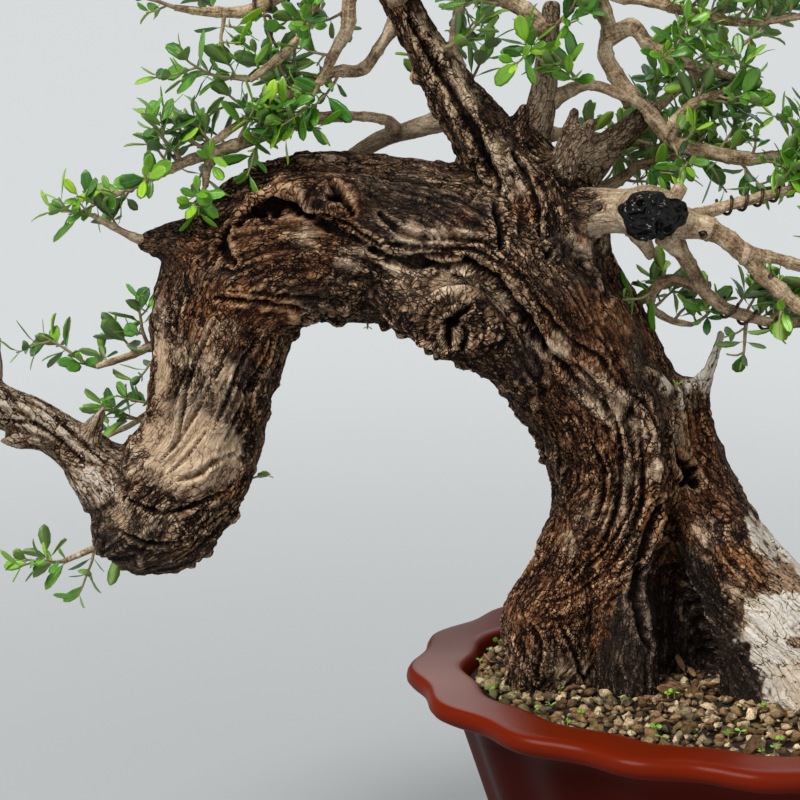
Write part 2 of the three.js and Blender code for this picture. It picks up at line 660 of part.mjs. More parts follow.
// A wire wound round a limb from `from` to `to`, with an optional free tail of points.
function wireSolid(limbName, from, to, turns, tail = []) {
  const limb = LIMBS[limbName];
  const line = limbLine(limb);
  const { radius, sides, stepsPerTurn } = WIRE;
  const steps = Math.round(turns * stepsPerTurn);
  const chordSag = 1 / Math.cos(Math.PI / stepsPerTurn);
  const points = [];
  const across = vec(0, 1, 0);
  for (let i = 0; i <= steps; i += 1) {
    const u = from + ((to - from) * i) / steps;
    const tangent = line.getTangent(u);
    across.addScaledVector(tangent, -across.dot(tangent)).normalize();
    const side = tangent.clone().cross(across);
    const angle = (i / stepsPerTurn) * 2 * Math.PI;
    const reach = (limbRadius(limb, u) + radius + SEAT_GAP) * chordSag;
    points.push(coreOf(limb, u)
      .addScaledVector(side, reach * Math.cos(angle))
      .addScaledVector(across, reach * Math.sin(angle)));
  }
  points.push(...tail.map(([x, y, z]) => vec(x, y, z)));
  const corners = Array.from({ length: sides }, (_, k) => new THREE.Vector2(radius, 0)
    .rotateAround(new THREE.Vector2(), (k * 2 * Math.PI) / sides));
  const run = { steps: points.length - 1, extrudePath: smooth(points), bevelEnabled: false };
  return toSolid(new THREE.ExtrudeGeometry(new THREE.Shape(corners), run));
}

// ---- Leafy sprays ---------------------------------------------------------------------------------

// A spray is one closed skin. Its shoots are four-sided tubes, and each leaf and side shoot grows
// out of one face of a tube, so nothing has to be joined afterwards.
class Skin {
  points = [];

  triangles = [];

  add(point) {
    this.points.push(point);
    return this.points.length - 1;
  }

  loop(points) {
    return points.map((point) => this.add(point));
  }

  quad(a, b, c, d) {
    this.triangles.push([a, b, c], [a, c, d]);
  }
}

const woodMesh = new THREE.Mesh(toGeometry(wood), new THREE.MeshBasicMaterial());

// Where a spray leaves its limb: the point on the bark and the way the bark faces there.
function seatOn(limbName, u, direction) {
  const line = limbLine(LIMBS[limbName]);
  const tangent = line.getTangent(u);
  const across = direction.clone().addScaledVector(tangent, -direction.dot(tangent)).normalize();
  const outward = u === 1 ? tangent : across;
  const start = 40;
  const origin = line.getPoint(u).addScaledVector(outward, start);
  const ray = new THREE.Raycaster(origin, outward.clone().negate(), 0, start + 5);
  const hit = ray.intersectObject(woodMesh)[0];
  const normal = hit.face.normal.clone();
  return { point: hit.point.addScaledVector(normal, SEAT_GAP + 0.05), normal };
}

// A shoot's line: it sets off along `direction`, wanders a little and lifts to the light.
function shootLine(start, direction, length, seed) {
  const steps = 4;
  const wander = 0.16;
  const lift = 0.1;
  const points = [start.clone()];
  const heading = direction.clone().normalize();
  for (let i = 1; i <= steps; i += 1) {
    const [dx, dy, dz] = [0, 50, 90].map((offset) => swing(seed + i + offset, wander));
    heading.add(vec(dx, dy, dz + lift)).normalize();
    points.push(points[i - 1].clone().addScaledVector(heading, length / steps));
  }
  return smooth(points);
}

const solidBox = (solid) => {
  const { min, max } = solid.boundingBox();
  return new THREE.Box3(vec(...min), vec(...max));
};
const standing = [];
const remember = (solid, list = standing) => list.push({ solid, box: solidBox(solid) });
const isClear = (solid, others) => {
  const box = solidBox(solid);
  return others.every((other) => !other.box.intersectsBox(box) || other.solid.intersect(solid).isEmpty());
};

// The space that a leaf needs beyond its stalk, a little wider and thicker than its blade.
function leafRoom({ root, along, face, length }) {
  const side = along.clone().cross(face);
  const half = (LEAF.width * length) / LEAF.length / 2 + LEAF.clearance;
  const thick = LEAF.thickness / 2 + LEAF.clearance;
  const at = (u, v, w) => root.clone().addScaledVector(along, u * length).addScaledVector(side, v * half)
    .addScaledVector(face, w * thick);
  const stalkShare = 0.2;
  const ends = [
    [at(stalkShare, -0.7, -1), at(stalkShare, 0.7, -1), at(stalkShare, 0.7, 1), at(stalkShare, -0.7, 1)],
    [at(0.5, -1, -1), at(0.5, 1, -1), at(0.5, 1, 1), at(0.5, -1, 1)],
    [at(0.98, -0.4, -1), at(0.98, 0.4, -1), at(0.98, 0.4, 1), at(0.98, -0.4, 1)],
  ];
  return toSolid(skinRings(ends, at(stalkShare, 0, 0), at(1.04, 0, 0)));
}

// The space that a shoot's stem takes beyond its root.
function stemRoom(line, rootRadius, tipRadius) {
  const clearance = 0.3;
  return limbSolid({
    sides: 4,
    path: [0.15, 0.4, 0.7, 1].map((u) => [
      ...line.getPointAt(u).toArray(),
      rootRadius + (tipRadius - rootRadius) * u + clearance,
    ]),
  });
}

// The leaf's blade grows out of the face `base` of its shoot: stalk, widest part, shoulders, tip.
function growLeaf(skin, base, { root, along, face, side, length }) {
  const half = (LEAF.width * length) / LEAF.length / 2;
  const droop = 1.4;
  const at = (u, v, w) => skin.add(root.clone().addScaledVector(along, u * length)
    .addScaledVector(side, v * half).addScaledVector(face, (w * LEAF.thickness) / 2 - droop * u * u));
  const belly = [at(0.4, 0, -1), at(0.36, 1, 0), at(0.4, 0, 1), at(0.36, -1, 0)];
  const [under, left, top, right] = belly;
  const [farLeft, farRight, tip] = [at(0.74, 0.78, 0), at(0.74, -0.78, 0), at(1, 0, 0)];
  for (let i = 0; i < 4; i += 1) {
    const next = (i + 1) % 4;
    skin.triangles.push([base[i], base[next], belly[i]], [base[next], belly[next], belly[i]]);
  }
  skin.triangles.push(
    [under, left, farLeft], [under, farLeft, tip], [under, tip, farRight], [under, farRight, right],
    [left, top, farLeft], [farLeft, top, tip], [top, right, farRight], [top, farRight, tip],
  );
}

// Where the leaf on one face of a shoot lies, turned until it is clear, or null if it never is.
function placeLeaf(centre, tangent, outward, lean, length, near) {
  for (const turn of [0, 0.4, -0.4, 0.8, -0.8]) {
    const side = tangent.clone().cross(outward).normalize();
    const along = tangent.clone().multiplyScalar(Math.cos(lean)).addScaledVector(outward, Math.sin(lean))
      .addScaledVector(side, Math.tan(turn)).normalize();
    const face = tangent.clone().addScaledVector(along, -tangent.dot(along)).normalize();
    const place = { root: centre, along, face, side: face.clone().cross(along), length };
    const room = leafRoom(place);
    if (isClear(room, [...standing, ...near])) {
      remember(room, near);
      return place;
    }
  }
  return null;
}

// The line of a side shoot, bent until its stem is clear of what has grown, or null if it never is.
function placeSideShoot(start, way, length, seed, near) {
  const tries = 6;
  for (let i = 0; i < tries; i += 1) {
    const line = shootLine(start, way, length, seed + 17 * i);
    const room = stemRoom(line, TWIG.sideRadius, TWIG.tipRadius);
    if (isClear(room, [...standing, ...near])) {
      remember(room, near);
      return line;
    }
  }
  return null;
}

// A shoot grows from the loop `base` along `line`, with leaves in opposite pairs, each pair turned
// a quarter round from the last, and side shoots at `forks`.
function growShoot(skin, base, line, { rootRadius, tipRadius, firstPair, spacing, forks, seed, near }) {
  const length = line.getLength();
  const lastPair = length - 1;
  const pairCount = Math.max(1, Math.round((length - firstPair) / spacing) + 1);
  const step = (lastPair - firstPair) / Math.max(1, pairCount - 1);
  const pairAt = (i) => lastPair - (pairCount - 1 - i) * step;
  const joints = Array.from({ length: pairCount }, (_, i) => (
    { at: pairAt(i), faces: i % 2 ? [1, 3] : [0, 2], pair: i }
  ));
  joints.push(...forks.map((at, i) => ({ at: at * length, faces: [(i + seed) % 4], fork: i })));
  joints.sort((a, b) => a.at - b.at);
  const halfJoint = 1.1;
  const across = skin.points[base[1]].clone().sub(skin.points[base[0]]).normalize();
  let loop = base;
  const frameAt = (s) => {
    const u = THREE.MathUtils.clamp(s / length, 0, 1);
    const tangent = line.getTangentAt(u);
    across.addScaledVector(tangent, -across.dot(tangent)).normalize();
    const up = tangent.clone().cross(across);
    const radius = rootRadius + (tipRadius - rootRadius) * u;
    const centre = line.getPointAt(u);
    const corners = [[-1, -1], [1, -1], [1, 1], [-1, 1]].map(([a, b]) => centre.clone()
      .addScaledVector(across, (a * radius) / Math.SQRT2).addScaledVector(up, (b * radius) / Math.SQRT2));
    return { tangent, up, centre, radius, corners };
  };
  const advance = (s, open = []) => {
    const frame = frameAt(s);
    const next = skin.loop(frame.corners);
    for (let k = 0; k < 4; k += 1) {
      const j = (k + 1) % 4;
      if (!open.includes(k)) skin.quad(loop[k], loop[j], next[j], next[k]);
    }
    const before = loop;
    loop = next;
    return { ...frame, face: (k) => [before[k], before[(k + 1) % 4], next[(k + 1) % 4], next[k]] };
  };
  const outwardOf = ({ up }, k) => {
    const way = (k % 2 ? across : up).clone();
    return k === 0 || k === 3 ? way.negate() : way;
  };
  for (const { at, faces, pair, fork } of joints) {
    advance(at - halfJoint);
    const frame = frameAt(at);
    const last = pair === pairCount - 1;
    const sprouts = faces.map((k) => {
      const outward = outwardOf(frame, k);
      if (fork !== undefined) {
        const way = frame.tangent.clone().multiplyScalar(0.65).add(outward);
        const start = frame.centre.clone().addScaledVector(outward, frame.radius + 1.5);
        const reach = length * (0.46 - 0.08 * fork);
        return { k, line: placeSideShoot(start, way, reach, seed + 31 * (fork + 1), near) };
      }
      const size = 1 + swing(seed + pair * 7 + k * 3, 0.2) - (last ? 0.08 : 0);
      const lean = (last ? 0.7 : 1.05) + swing(seed + pair * 5 + k, 0.18);
      const root = frame.centre.clone().addScaledVector(outward, frame.radius * 0.7);
      return { k, leaf: placeLeaf(root, frame.tangent, outward, lean, LEAF.length * size, near) };
    }).filter((sprout) => sprout.line || sprout.leaf);
    const joint = advance(at + halfJoint, sprouts.map(({ k }) => k));
    for (const { k, leaf, line: side } of sprouts) {
      if (leaf) growLeaf(skin, joint.face(k), leaf);
      if (side) {
        const taper = { rootRadius: TWIG.sideRadius, tipRadius: TWIG.tipRadius };
        const spread = { firstPair: TWIG.firstPair, spacing: TWIG.pairSpacing, forks: [] };
        growShoot(skin, joint.face(k), side, { ...taper, ...spread, seed: seed + 211 * (fork + 1), near });
      }
    }
  }
  skin.quad(...loop);
}

// One spray, seated on the bark with its root face flat to it.
function growSpray(limbName, u, direction, length, seed) {
  const heading = vec(...direction).normalize();
  const seat = seatOn(limbName, u, heading);
  const across = Math.abs(seat.normal.y) < 0.8 ? vec(0, 1, 0) : vec(1, 0, 0);
  across.addScaledVector(seat.normal, -across.dot(seat.normal)).normalize();
  const up = seat.normal.clone().cross(across);
  const reach = TWIG.stemRadius / Math.SQRT2;
  const skin = new Skin();
  const root = skin.loop([[-1, -1], [1, -1], [1, 1], [-1, 1]].map(([a, b]) => seat.point.clone()
    .addScaledVector(across, a * reach).addScaledVector(up, b * reach)));
  skin.quad(root[3], root[2], root[1], root[0]);
  const line = shootLine(seat.point.clone().addScaledVector(seat.normal, 3), heading, length, seed);
  const { stemRadius: rootRadius, tipRadius, firstPair, pairSpacing: spacing } = TWIG;
  const forks = length > TWIG.forkedBeyond ? [0.3, 0.55] : [0.4];
  const near = [];
  remember(stemRoom(line, rootRadius, tipRadius), near);
  growShoot(skin, root, line, { rootRadius, tipRadius, firstPair, spacing, forks, seed, near });
  return toSolid(geometryFrom(skin.points, skin.triangles));
}

// A spray whose shoots would cross another piece is grown again from the next seed.
function spraySolid([limbName, u, direction, length], index) {
  const tries = 12;
  for (let i = 0; i < tries; i += 1) {
    const spray = growSpray(limbName, u, direction, length, 1000 + index * 97 + i * 13);
    if (isClear(spray, standing)) {
      remember(spray);
      return spray;
    }
  }
  throw new Error(`no room for a spray on ${limbName} at ${u}`);
}

// ---- Assembly -------------------------------------------------------------------------------------

const tree = new THREE.Group();

function addNode(name, shape, material) {
  const geometry = shape.isBufferGeometry ? shape : toGeometry(shape);
  const mesh = new THREE.Mesh(geometry, material);
  mesh.name = name;
  tree.add(mesh);
  return mesh;
}

const pot = potSolid();
addNode('pot', pot, clay());
const soil = soilSolid();
addNode('soil', soil, grit());
addNode('drain_mesh_left', drainMesh(-1), meshPlastic());
addNode('drain_mesh_right', drainMesh(1), meshPlastic());
addNode('trunk', wood, bark());
const sealing = pasteSolid();
addNode('cut_paste', sealing, paste());
const wires = {
  wire_top_left: wireSolid('top_left', 0.42, 0.6, 3, [[-385, -3, 612], [-384, -5, 600], [-380, -6, 592]]),
  wire_right_under: wireSolid('right_under', 0.5, 0.7, 3),
  wire_right: wireSolid('right_wired', 0.24, 0.54, 4),
};
for (const [name, solid] of Object.entries(wires)) addNode(name, solid, wireMetal());
for (const solid of [wood, sealing, soil, pot, ...Object.values(wires)]) remember(solid);
SPRAYS.forEach((spray, i) => {
  addNode(`spray_${String(i + 1).padStart(2, '0')}_${spray[0]}`, spraySolid(spray, i), foliage());
});

// The whole stands centred on the origin.
const bounds = new THREE.Box3().setFromObject(tree);
tree.position.set(-(bounds.min.x + bounds.max.x) / 2, -(bounds.min.y + bounds.max.y) / 2, 0);

export default tree;
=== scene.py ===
# %% [markdown]
# # An old olive bonsai in its pot
#
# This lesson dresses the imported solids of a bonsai: an old olive whose trunk arches out over its
# pot and hooks down into dead wood. The solids give every size and place. What follows makes the
# surfaces: fissured bark, bleached dead wood, glossy leaves, grit and satin clay.
#
# Everything is worked out in millimetres from the middle of the pot, because that is how a grower
# would measure the tree, and is turned into the part's own frame when a mesh is made.

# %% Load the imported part
import math

import bmesh
import bpy
import numpy as np
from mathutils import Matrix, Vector
from mathutils.bvhtree import BVHTree


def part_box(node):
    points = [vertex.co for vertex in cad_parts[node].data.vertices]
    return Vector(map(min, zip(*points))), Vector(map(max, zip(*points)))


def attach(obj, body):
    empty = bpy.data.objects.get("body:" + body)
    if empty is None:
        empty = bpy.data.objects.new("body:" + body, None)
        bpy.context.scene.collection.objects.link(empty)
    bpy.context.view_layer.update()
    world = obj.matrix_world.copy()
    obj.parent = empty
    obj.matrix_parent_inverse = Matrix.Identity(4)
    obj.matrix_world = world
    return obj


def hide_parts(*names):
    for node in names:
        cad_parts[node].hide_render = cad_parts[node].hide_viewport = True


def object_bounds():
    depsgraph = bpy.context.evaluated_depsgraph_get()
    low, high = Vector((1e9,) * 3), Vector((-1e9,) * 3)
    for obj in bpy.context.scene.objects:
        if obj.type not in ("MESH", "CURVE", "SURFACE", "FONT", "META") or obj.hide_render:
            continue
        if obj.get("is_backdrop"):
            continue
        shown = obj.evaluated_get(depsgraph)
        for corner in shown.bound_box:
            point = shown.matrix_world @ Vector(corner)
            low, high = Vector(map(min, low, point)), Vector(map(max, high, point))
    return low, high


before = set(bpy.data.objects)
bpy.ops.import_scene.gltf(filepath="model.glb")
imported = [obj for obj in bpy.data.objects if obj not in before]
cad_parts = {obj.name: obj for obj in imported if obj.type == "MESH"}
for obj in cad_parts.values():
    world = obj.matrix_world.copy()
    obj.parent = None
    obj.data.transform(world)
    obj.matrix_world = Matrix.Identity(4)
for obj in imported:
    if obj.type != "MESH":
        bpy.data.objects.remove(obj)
cad_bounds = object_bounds()
pot_low, pot_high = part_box("pot")
POT_MIDDLE = np.array([(pot_low.x + pot_high.x) / 2, (pot_low.y + pot_high.y) / 2, 0.0])
MM = 0.001


def to_frame(points):
    """Millimetres from the pot's middle, as metres in the part's frame."""
    return np.asarray(points, float) * MM + POT_MIDDLE


def to_mm(points):
    """The reverse of to_frame."""
    return (np.asarray(points, float) - POT_MIDDLE) / MM


print("nodes:", len(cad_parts), " pot middle:", POT_MIDDLE.round(4))

# %% [markdown]
# ## Camera, light and floor
#
# A tree is portrayed from its front. The camera stands a little above the rim of the pot, far
# enough away for the arch to keep its shape. A wide key light from the upper left, a broader fill
# from the right, a lamp behind and a faint surround give the soft shade that shows bark best; hard
# light would hide the grooves in black. The floor is one plain pale sheet, wide enough to fill every
# view, with painted shade: its colour darkens round the pot.

# %% Camera
CAMERA = {"aim": (-300, 0, 356), "distance": 1700, "elevation": 12, "field": 18}
PICTURE_SIDE = 800
TILT = math.radians(CAMERA["elevation"])
TO_CAMERA = np.array([0, -math.cos(TILT), math.sin(TILT)])
CAMERA_UP = np.array([0, math.sin(TILT), math.cos(TILT)])
CAMERA_PLACE = np.array(CAMERA["aim"]) + CAMERA["distance"] * TO_CAMERA


def make_camera():
    data = bpy.data.cameras.new("front_camera")
    data.sensor_fit = "HORIZONTAL"
    data.angle = math.radians(CAMERA["field"])
    data.clip_end = 50
    camera = bpy.data.objects.new("front_camera", data)
    camera.location = to_frame(CAMERA_PLACE)
    camera.rotation_euler = (math.pi / 2 - TILT, 0, 0)
    bpy.context.scene.collection.objects.link(camera)
    bpy.context.scene.camera = camera


make_camera()
print("camera at", to_frame(CAMERA_PLACE).round(3))

# %% Lights
def make_sky_light(name, source, power, softness, colour):
    """A lamp so far off that it lights tree and floor alike; `softness` is its width in degrees."""
    data = bpy.data.lights.new(name, "SUN")
    data.energy = power
    data.angle = math.radians(softness)
    data.color = colour
    lamp = bpy.data.objects.new(name, data)
    lamp.rotation_euler = Vector(source).to_track_quat("Z", "Y").to_euler()
    bpy.context.scene.collection.objects.link(lamp)


SKY_LIGHTS = [
    ("key_light", (-1.7, -1.2, 2.3), 3.1, 32, (1.0, 0.975, 0.94)),
    ("fill_light", (1.6, -2.2, 1.2), 0.7, 80, (1.0, 0.98, 0.96)),
    ("back_light", (1.2, 2.0, 2.2), 0.7, 50, (1.0, 1.0, 1.0)),
]
for light in SKY_LIGHTS:
    make_sky_light(*light)
bpy.context.scene.view_settings.view_transform = "Standard"
print(len(SKY_LIGHTS), "lights")

# %% [markdown]
# ## Shader sums
#
# A material is a chain of small sums: this noise times that mask, minus a bit. Written as nodes
# and links such a chain can't be read, so one class wraps a socket and lets Python's own signs
# build the nodes. Colours go through Mix nodes, because a Math node would turn them grey.

# %% A small language for materials
class Value:
    """One output socket. A sum on it adds a Math node to its material."""

    def __init__(self, shader, socket):
        self.shader, self.socket = shader, socket

    def __add__(self, other):
        return maths("ADD", self, other)

    def __sub__(self, other):
        return maths("SUBTRACT", self, other)

    def __mul__(self, other):
        return maths("MULTIPLY", self, other)

    def __rsub__(self, other):
        return maths("SUBTRACT", other, self)

    __radd__ = __add__
    __rmul__ = __mul__

    def clamp(self):
        return self.shader.add("ShaderNodeClamp", {}, {"Value": self})

    def fade(self, low, high):
        """0 below `low`, 1 above `high`, and smooth between."""
        ends = {"Value": self, "From Min": low, "From Max": high}
        return self.shader.add("ShaderNodeMapRange", {"interpolation_type": "SMOOTHSTEP"}, ends)


def maths(operation, *terms):
    shader = next(term.shader for term in terms if isinstance(term, Value))
    return shader.add("ShaderNodeMath", {"operation": operation}, dict(enumerate(terms)))


# %% One material
class Shader:
    """A material with one Principled surface."""

    def __init__(self, name, **constants):
        self.material = bpy.data.materials.new(name)
        self.material.use_nodes = True
        self.tree = self.material.node_tree
        self.surface = self.tree.nodes["Principled BSDF"]
        for socket, value in constants.items():
            self.feed(self.surface, {socket.replace("_", " "): value})

    def feed(self, node, inputs):
        for key, value in inputs.items():
            if isinstance(value, Value):
                self.tree.links.new(value.socket, node.inputs[key])
            else:
                is_colour = node.inputs[key].type == "RGBA" and len(value) == 3
                node.inputs[key].default_value = (*value, 1) if is_colour else value

    def add(self, kind, settings, inputs, output=0):
        """A node of any kind: its settings first, then its sockets."""
        node = self.tree.nodes.new(kind)
        for key, value in settings.items():
            if key == "stops":
                set_stops(node.color_ramp, value)
            else:
                setattr(node, key, value)
        self.feed(node, inputs)
        return Value(self, node.outputs[output])

    def stored(self, name, output="Fac"):
        """A value that the mesh carries at each point."""
        return self.add("ShaderNodeAttribute", {"attribute_name": name}, {}, output)

    def noise(self, vector, scale, detail=2, roughness=0.5):
        inputs = {"Vector": vector, "Scale": scale, "Detail": detail, "Roughness": roughness}
        return self.add("ShaderNodeTexNoise", {}, inputs)

    def stretch(self, vector, scales):
        return self.add("ShaderNodeMapping", {"vector_type": "POINT"}, {"Vector": vector, "Scale": scales})

    def shift(self, vector, by):
        return self.add("ShaderNodeVectorMath", {"operation": "ADD"}, {0: vector, 1: by})

    def place(self):
        return self.add("ShaderNodeTexCoord", {}, {}, "Object")

    def plates(self, vector, feature, output):
        """Cells like dried mud: the distance to a cell's edge, or each cell's own tone."""
        inputs = {"Vector": vector, "Scale": 1.0}
        return self.add("ShaderNodeTexVoronoi", {"feature": feature}, inputs, output)

    def ramp(self, value, stops):
        return self.add("ShaderNodeValToRGB", {"stops": stops}, {"Fac": value}, "Color")

    def mix(self, share, first, second):
        return self.add("ShaderNodeMix", {"data_type": "RGBA"}, {0: share, 6: first, 7: second}, 2)

    def finish(self, colour, roughness, dents=None, coat=0.0):
        """The material. `dents` are a height, how many metres it can dent, and how strongly."""
        self.feed(self.surface, {"Base Color": colour, "Roughness": roughness, "Coat Weight": coat})
        if dents:
            bump = dict(zip(("Height", "Distance", "Strength"), dents))
            self.feed(self.surface, {"Normal": self.add("ShaderNodeBump", {}, bump)})
        return self.material


def set_stops(ramp, stops):
    """Each stop is a position and then its red, green and blue."""
    while len(ramp.elements) < len(stops):
        ramp.elements.new(0.5)
    for element, (position, *colour) in zip(ramp.elements, stops):
        element.position = position
        element.color = (*colour, 1)


# %% Floor and surround
FLOOR_SIZE = 400
BACKDROP_COLOUR = (0.54, 0.57, 0.585)
# Painted shade: the floor's colour near the pot.
SHADED_COLOUR = tuple(0.76 * share for share in BACKDROP_COLOUR)
SURROUND = {"colour": (0.93, 0.96, 1.0, 1), "strength": 0.3}


def make_floor():
    half = FLOOR_SIZE / 2
    mesh = bpy.data.meshes.new("floor")
    corners = [(-half, -half, 0), (half, -half, 0), (half, half, 0), (-half, half, 0)]
    mesh.from_pydata(corners, [], [(0, 1, 2, 3)])
    floor = bpy.data.objects.new("floor", mesh)
    bpy.context.scene.collection.objects.link(floor)
    shader = Shader("pale_floor")
    away = shader.add("ShaderNodeVectorMath", {"operation": "LENGTH"}, {0: shader.place()}, 1)
    # Painted shade: the floor is painted darker towards the pot.
    colour = shader.mix(away.fade(0.4, 2.2), SHADED_COLOUR, BACKDROP_COLOUR)
    mesh.materials.append(shader.finish(colour, 0.9))
    floor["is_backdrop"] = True


def light_the_surround():
    world = bpy.data.worlds.new("studio")
    world.use_nodes = True
    background = world.node_tree.nodes["Background"]
    background.inputs["Color"].default_value = SURROUND["colour"]
    background.inputs["Strength"].default_value = SURROUND["strength"]
    bpy.context.scene.world = world


make_floor()
light_the_surround()
print("floor", FLOOR_SIZE, "m wide")

# %% [markdown]
# ## Noise that Python can read
#
# Bark must be carved into the mesh, so its pattern has to be known in Python as well as in the
# material. A value noise needs only a repeatable number at each corner of a grid and a smooth
# blend between corners, and numpy does that for a hundred thousand points at once.

# %% Noise
def cell_chance(cells, seed):
    """A repeatable number from 0 to 1 for each whole-number cell."""
    i, j, k = (cells[..., axis].astype(np.int64).astype(np.uint32) for axis in range(3))
    mixed = i * np.uint32(374761393) ^ j * np.uint32(668265263) ^ k * np.uint32(2246822519)
    mixed = mixed + np.uint32((seed * 3266489917) & 0xFFFFFFFF)
    for shift, factor in ((15, 2246822519), (13, 3266489917)):
        mixed = (mixed ^ (mixed >> np.uint32(shift))) * np.uint32(factor)
    return (mixed ^ (mixed >> np.uint32(16))) / 4294967295


def noise(points, seed=0):
    """Smooth noise from 0 to 1, with features one unit across."""
    cells = np.floor(points)
    share = points - cells
    share = share * share * share * (share * (share * 6 - 15) + 10)
    total = np.zeros(len(points))
    for corner in np.ndindex(2, 2, 2):
        weight = np.prod(np.where(corner, share, 1 - share), axis=1)
        total += weight * cell_chance(cells + corner, seed)
    return total


def clouds(points, octaves, seed):
    """Noise with finer and fainter noise on top, from about 0.2 to 0.8."""
    sizes = [0.5**octave for octave in range(octaves)]
    layers = [size * noise(points / size, seed + 7 * n) for n, size in enumerate(sizes)]
    return sum(layers) / sum(sizes)


def ridges(values):
    """Sharp crests where a noise passes its middle, from 0 in the valleys to 1 on the crests."""
    return 1 - np.abs(2 * values - 1)


def lengths(vectors):
    return np.linalg.norm(vectors, axis=1)


def smoothstep(low, high, values):
    share = np.clip((values - low) / (high - low), 0, 1)
    return share * share * (3 - 2 * share)


print("noise at three points:", noise(np.array([[0.2, 0, 0], [5.5, 1, 2], [9, 9, 9.3]])).round(3))

# %% [markdown]
# ## The limbs
#
# Each limb is a line of stations: a place and a radius, as a grower would tape them. A smooth line
# through the stations carries rings of points. The rings must not twist as the limb bends, so each
# one's frame is carried over from the last and only tipped to the new direction.

# %% Read a grower's notes
def numbers(text):
    return tuple(map(float, text.split()))


def notes(text):
    """A grower's notes: a name and a colon, places with commas between, and a semicolon."""
    rows = [row.split(":") for row in text.split(";")[:-1]]
    return [(name.strip(), [numbers(place) for place in places.split(",")]) for name, places in rows]


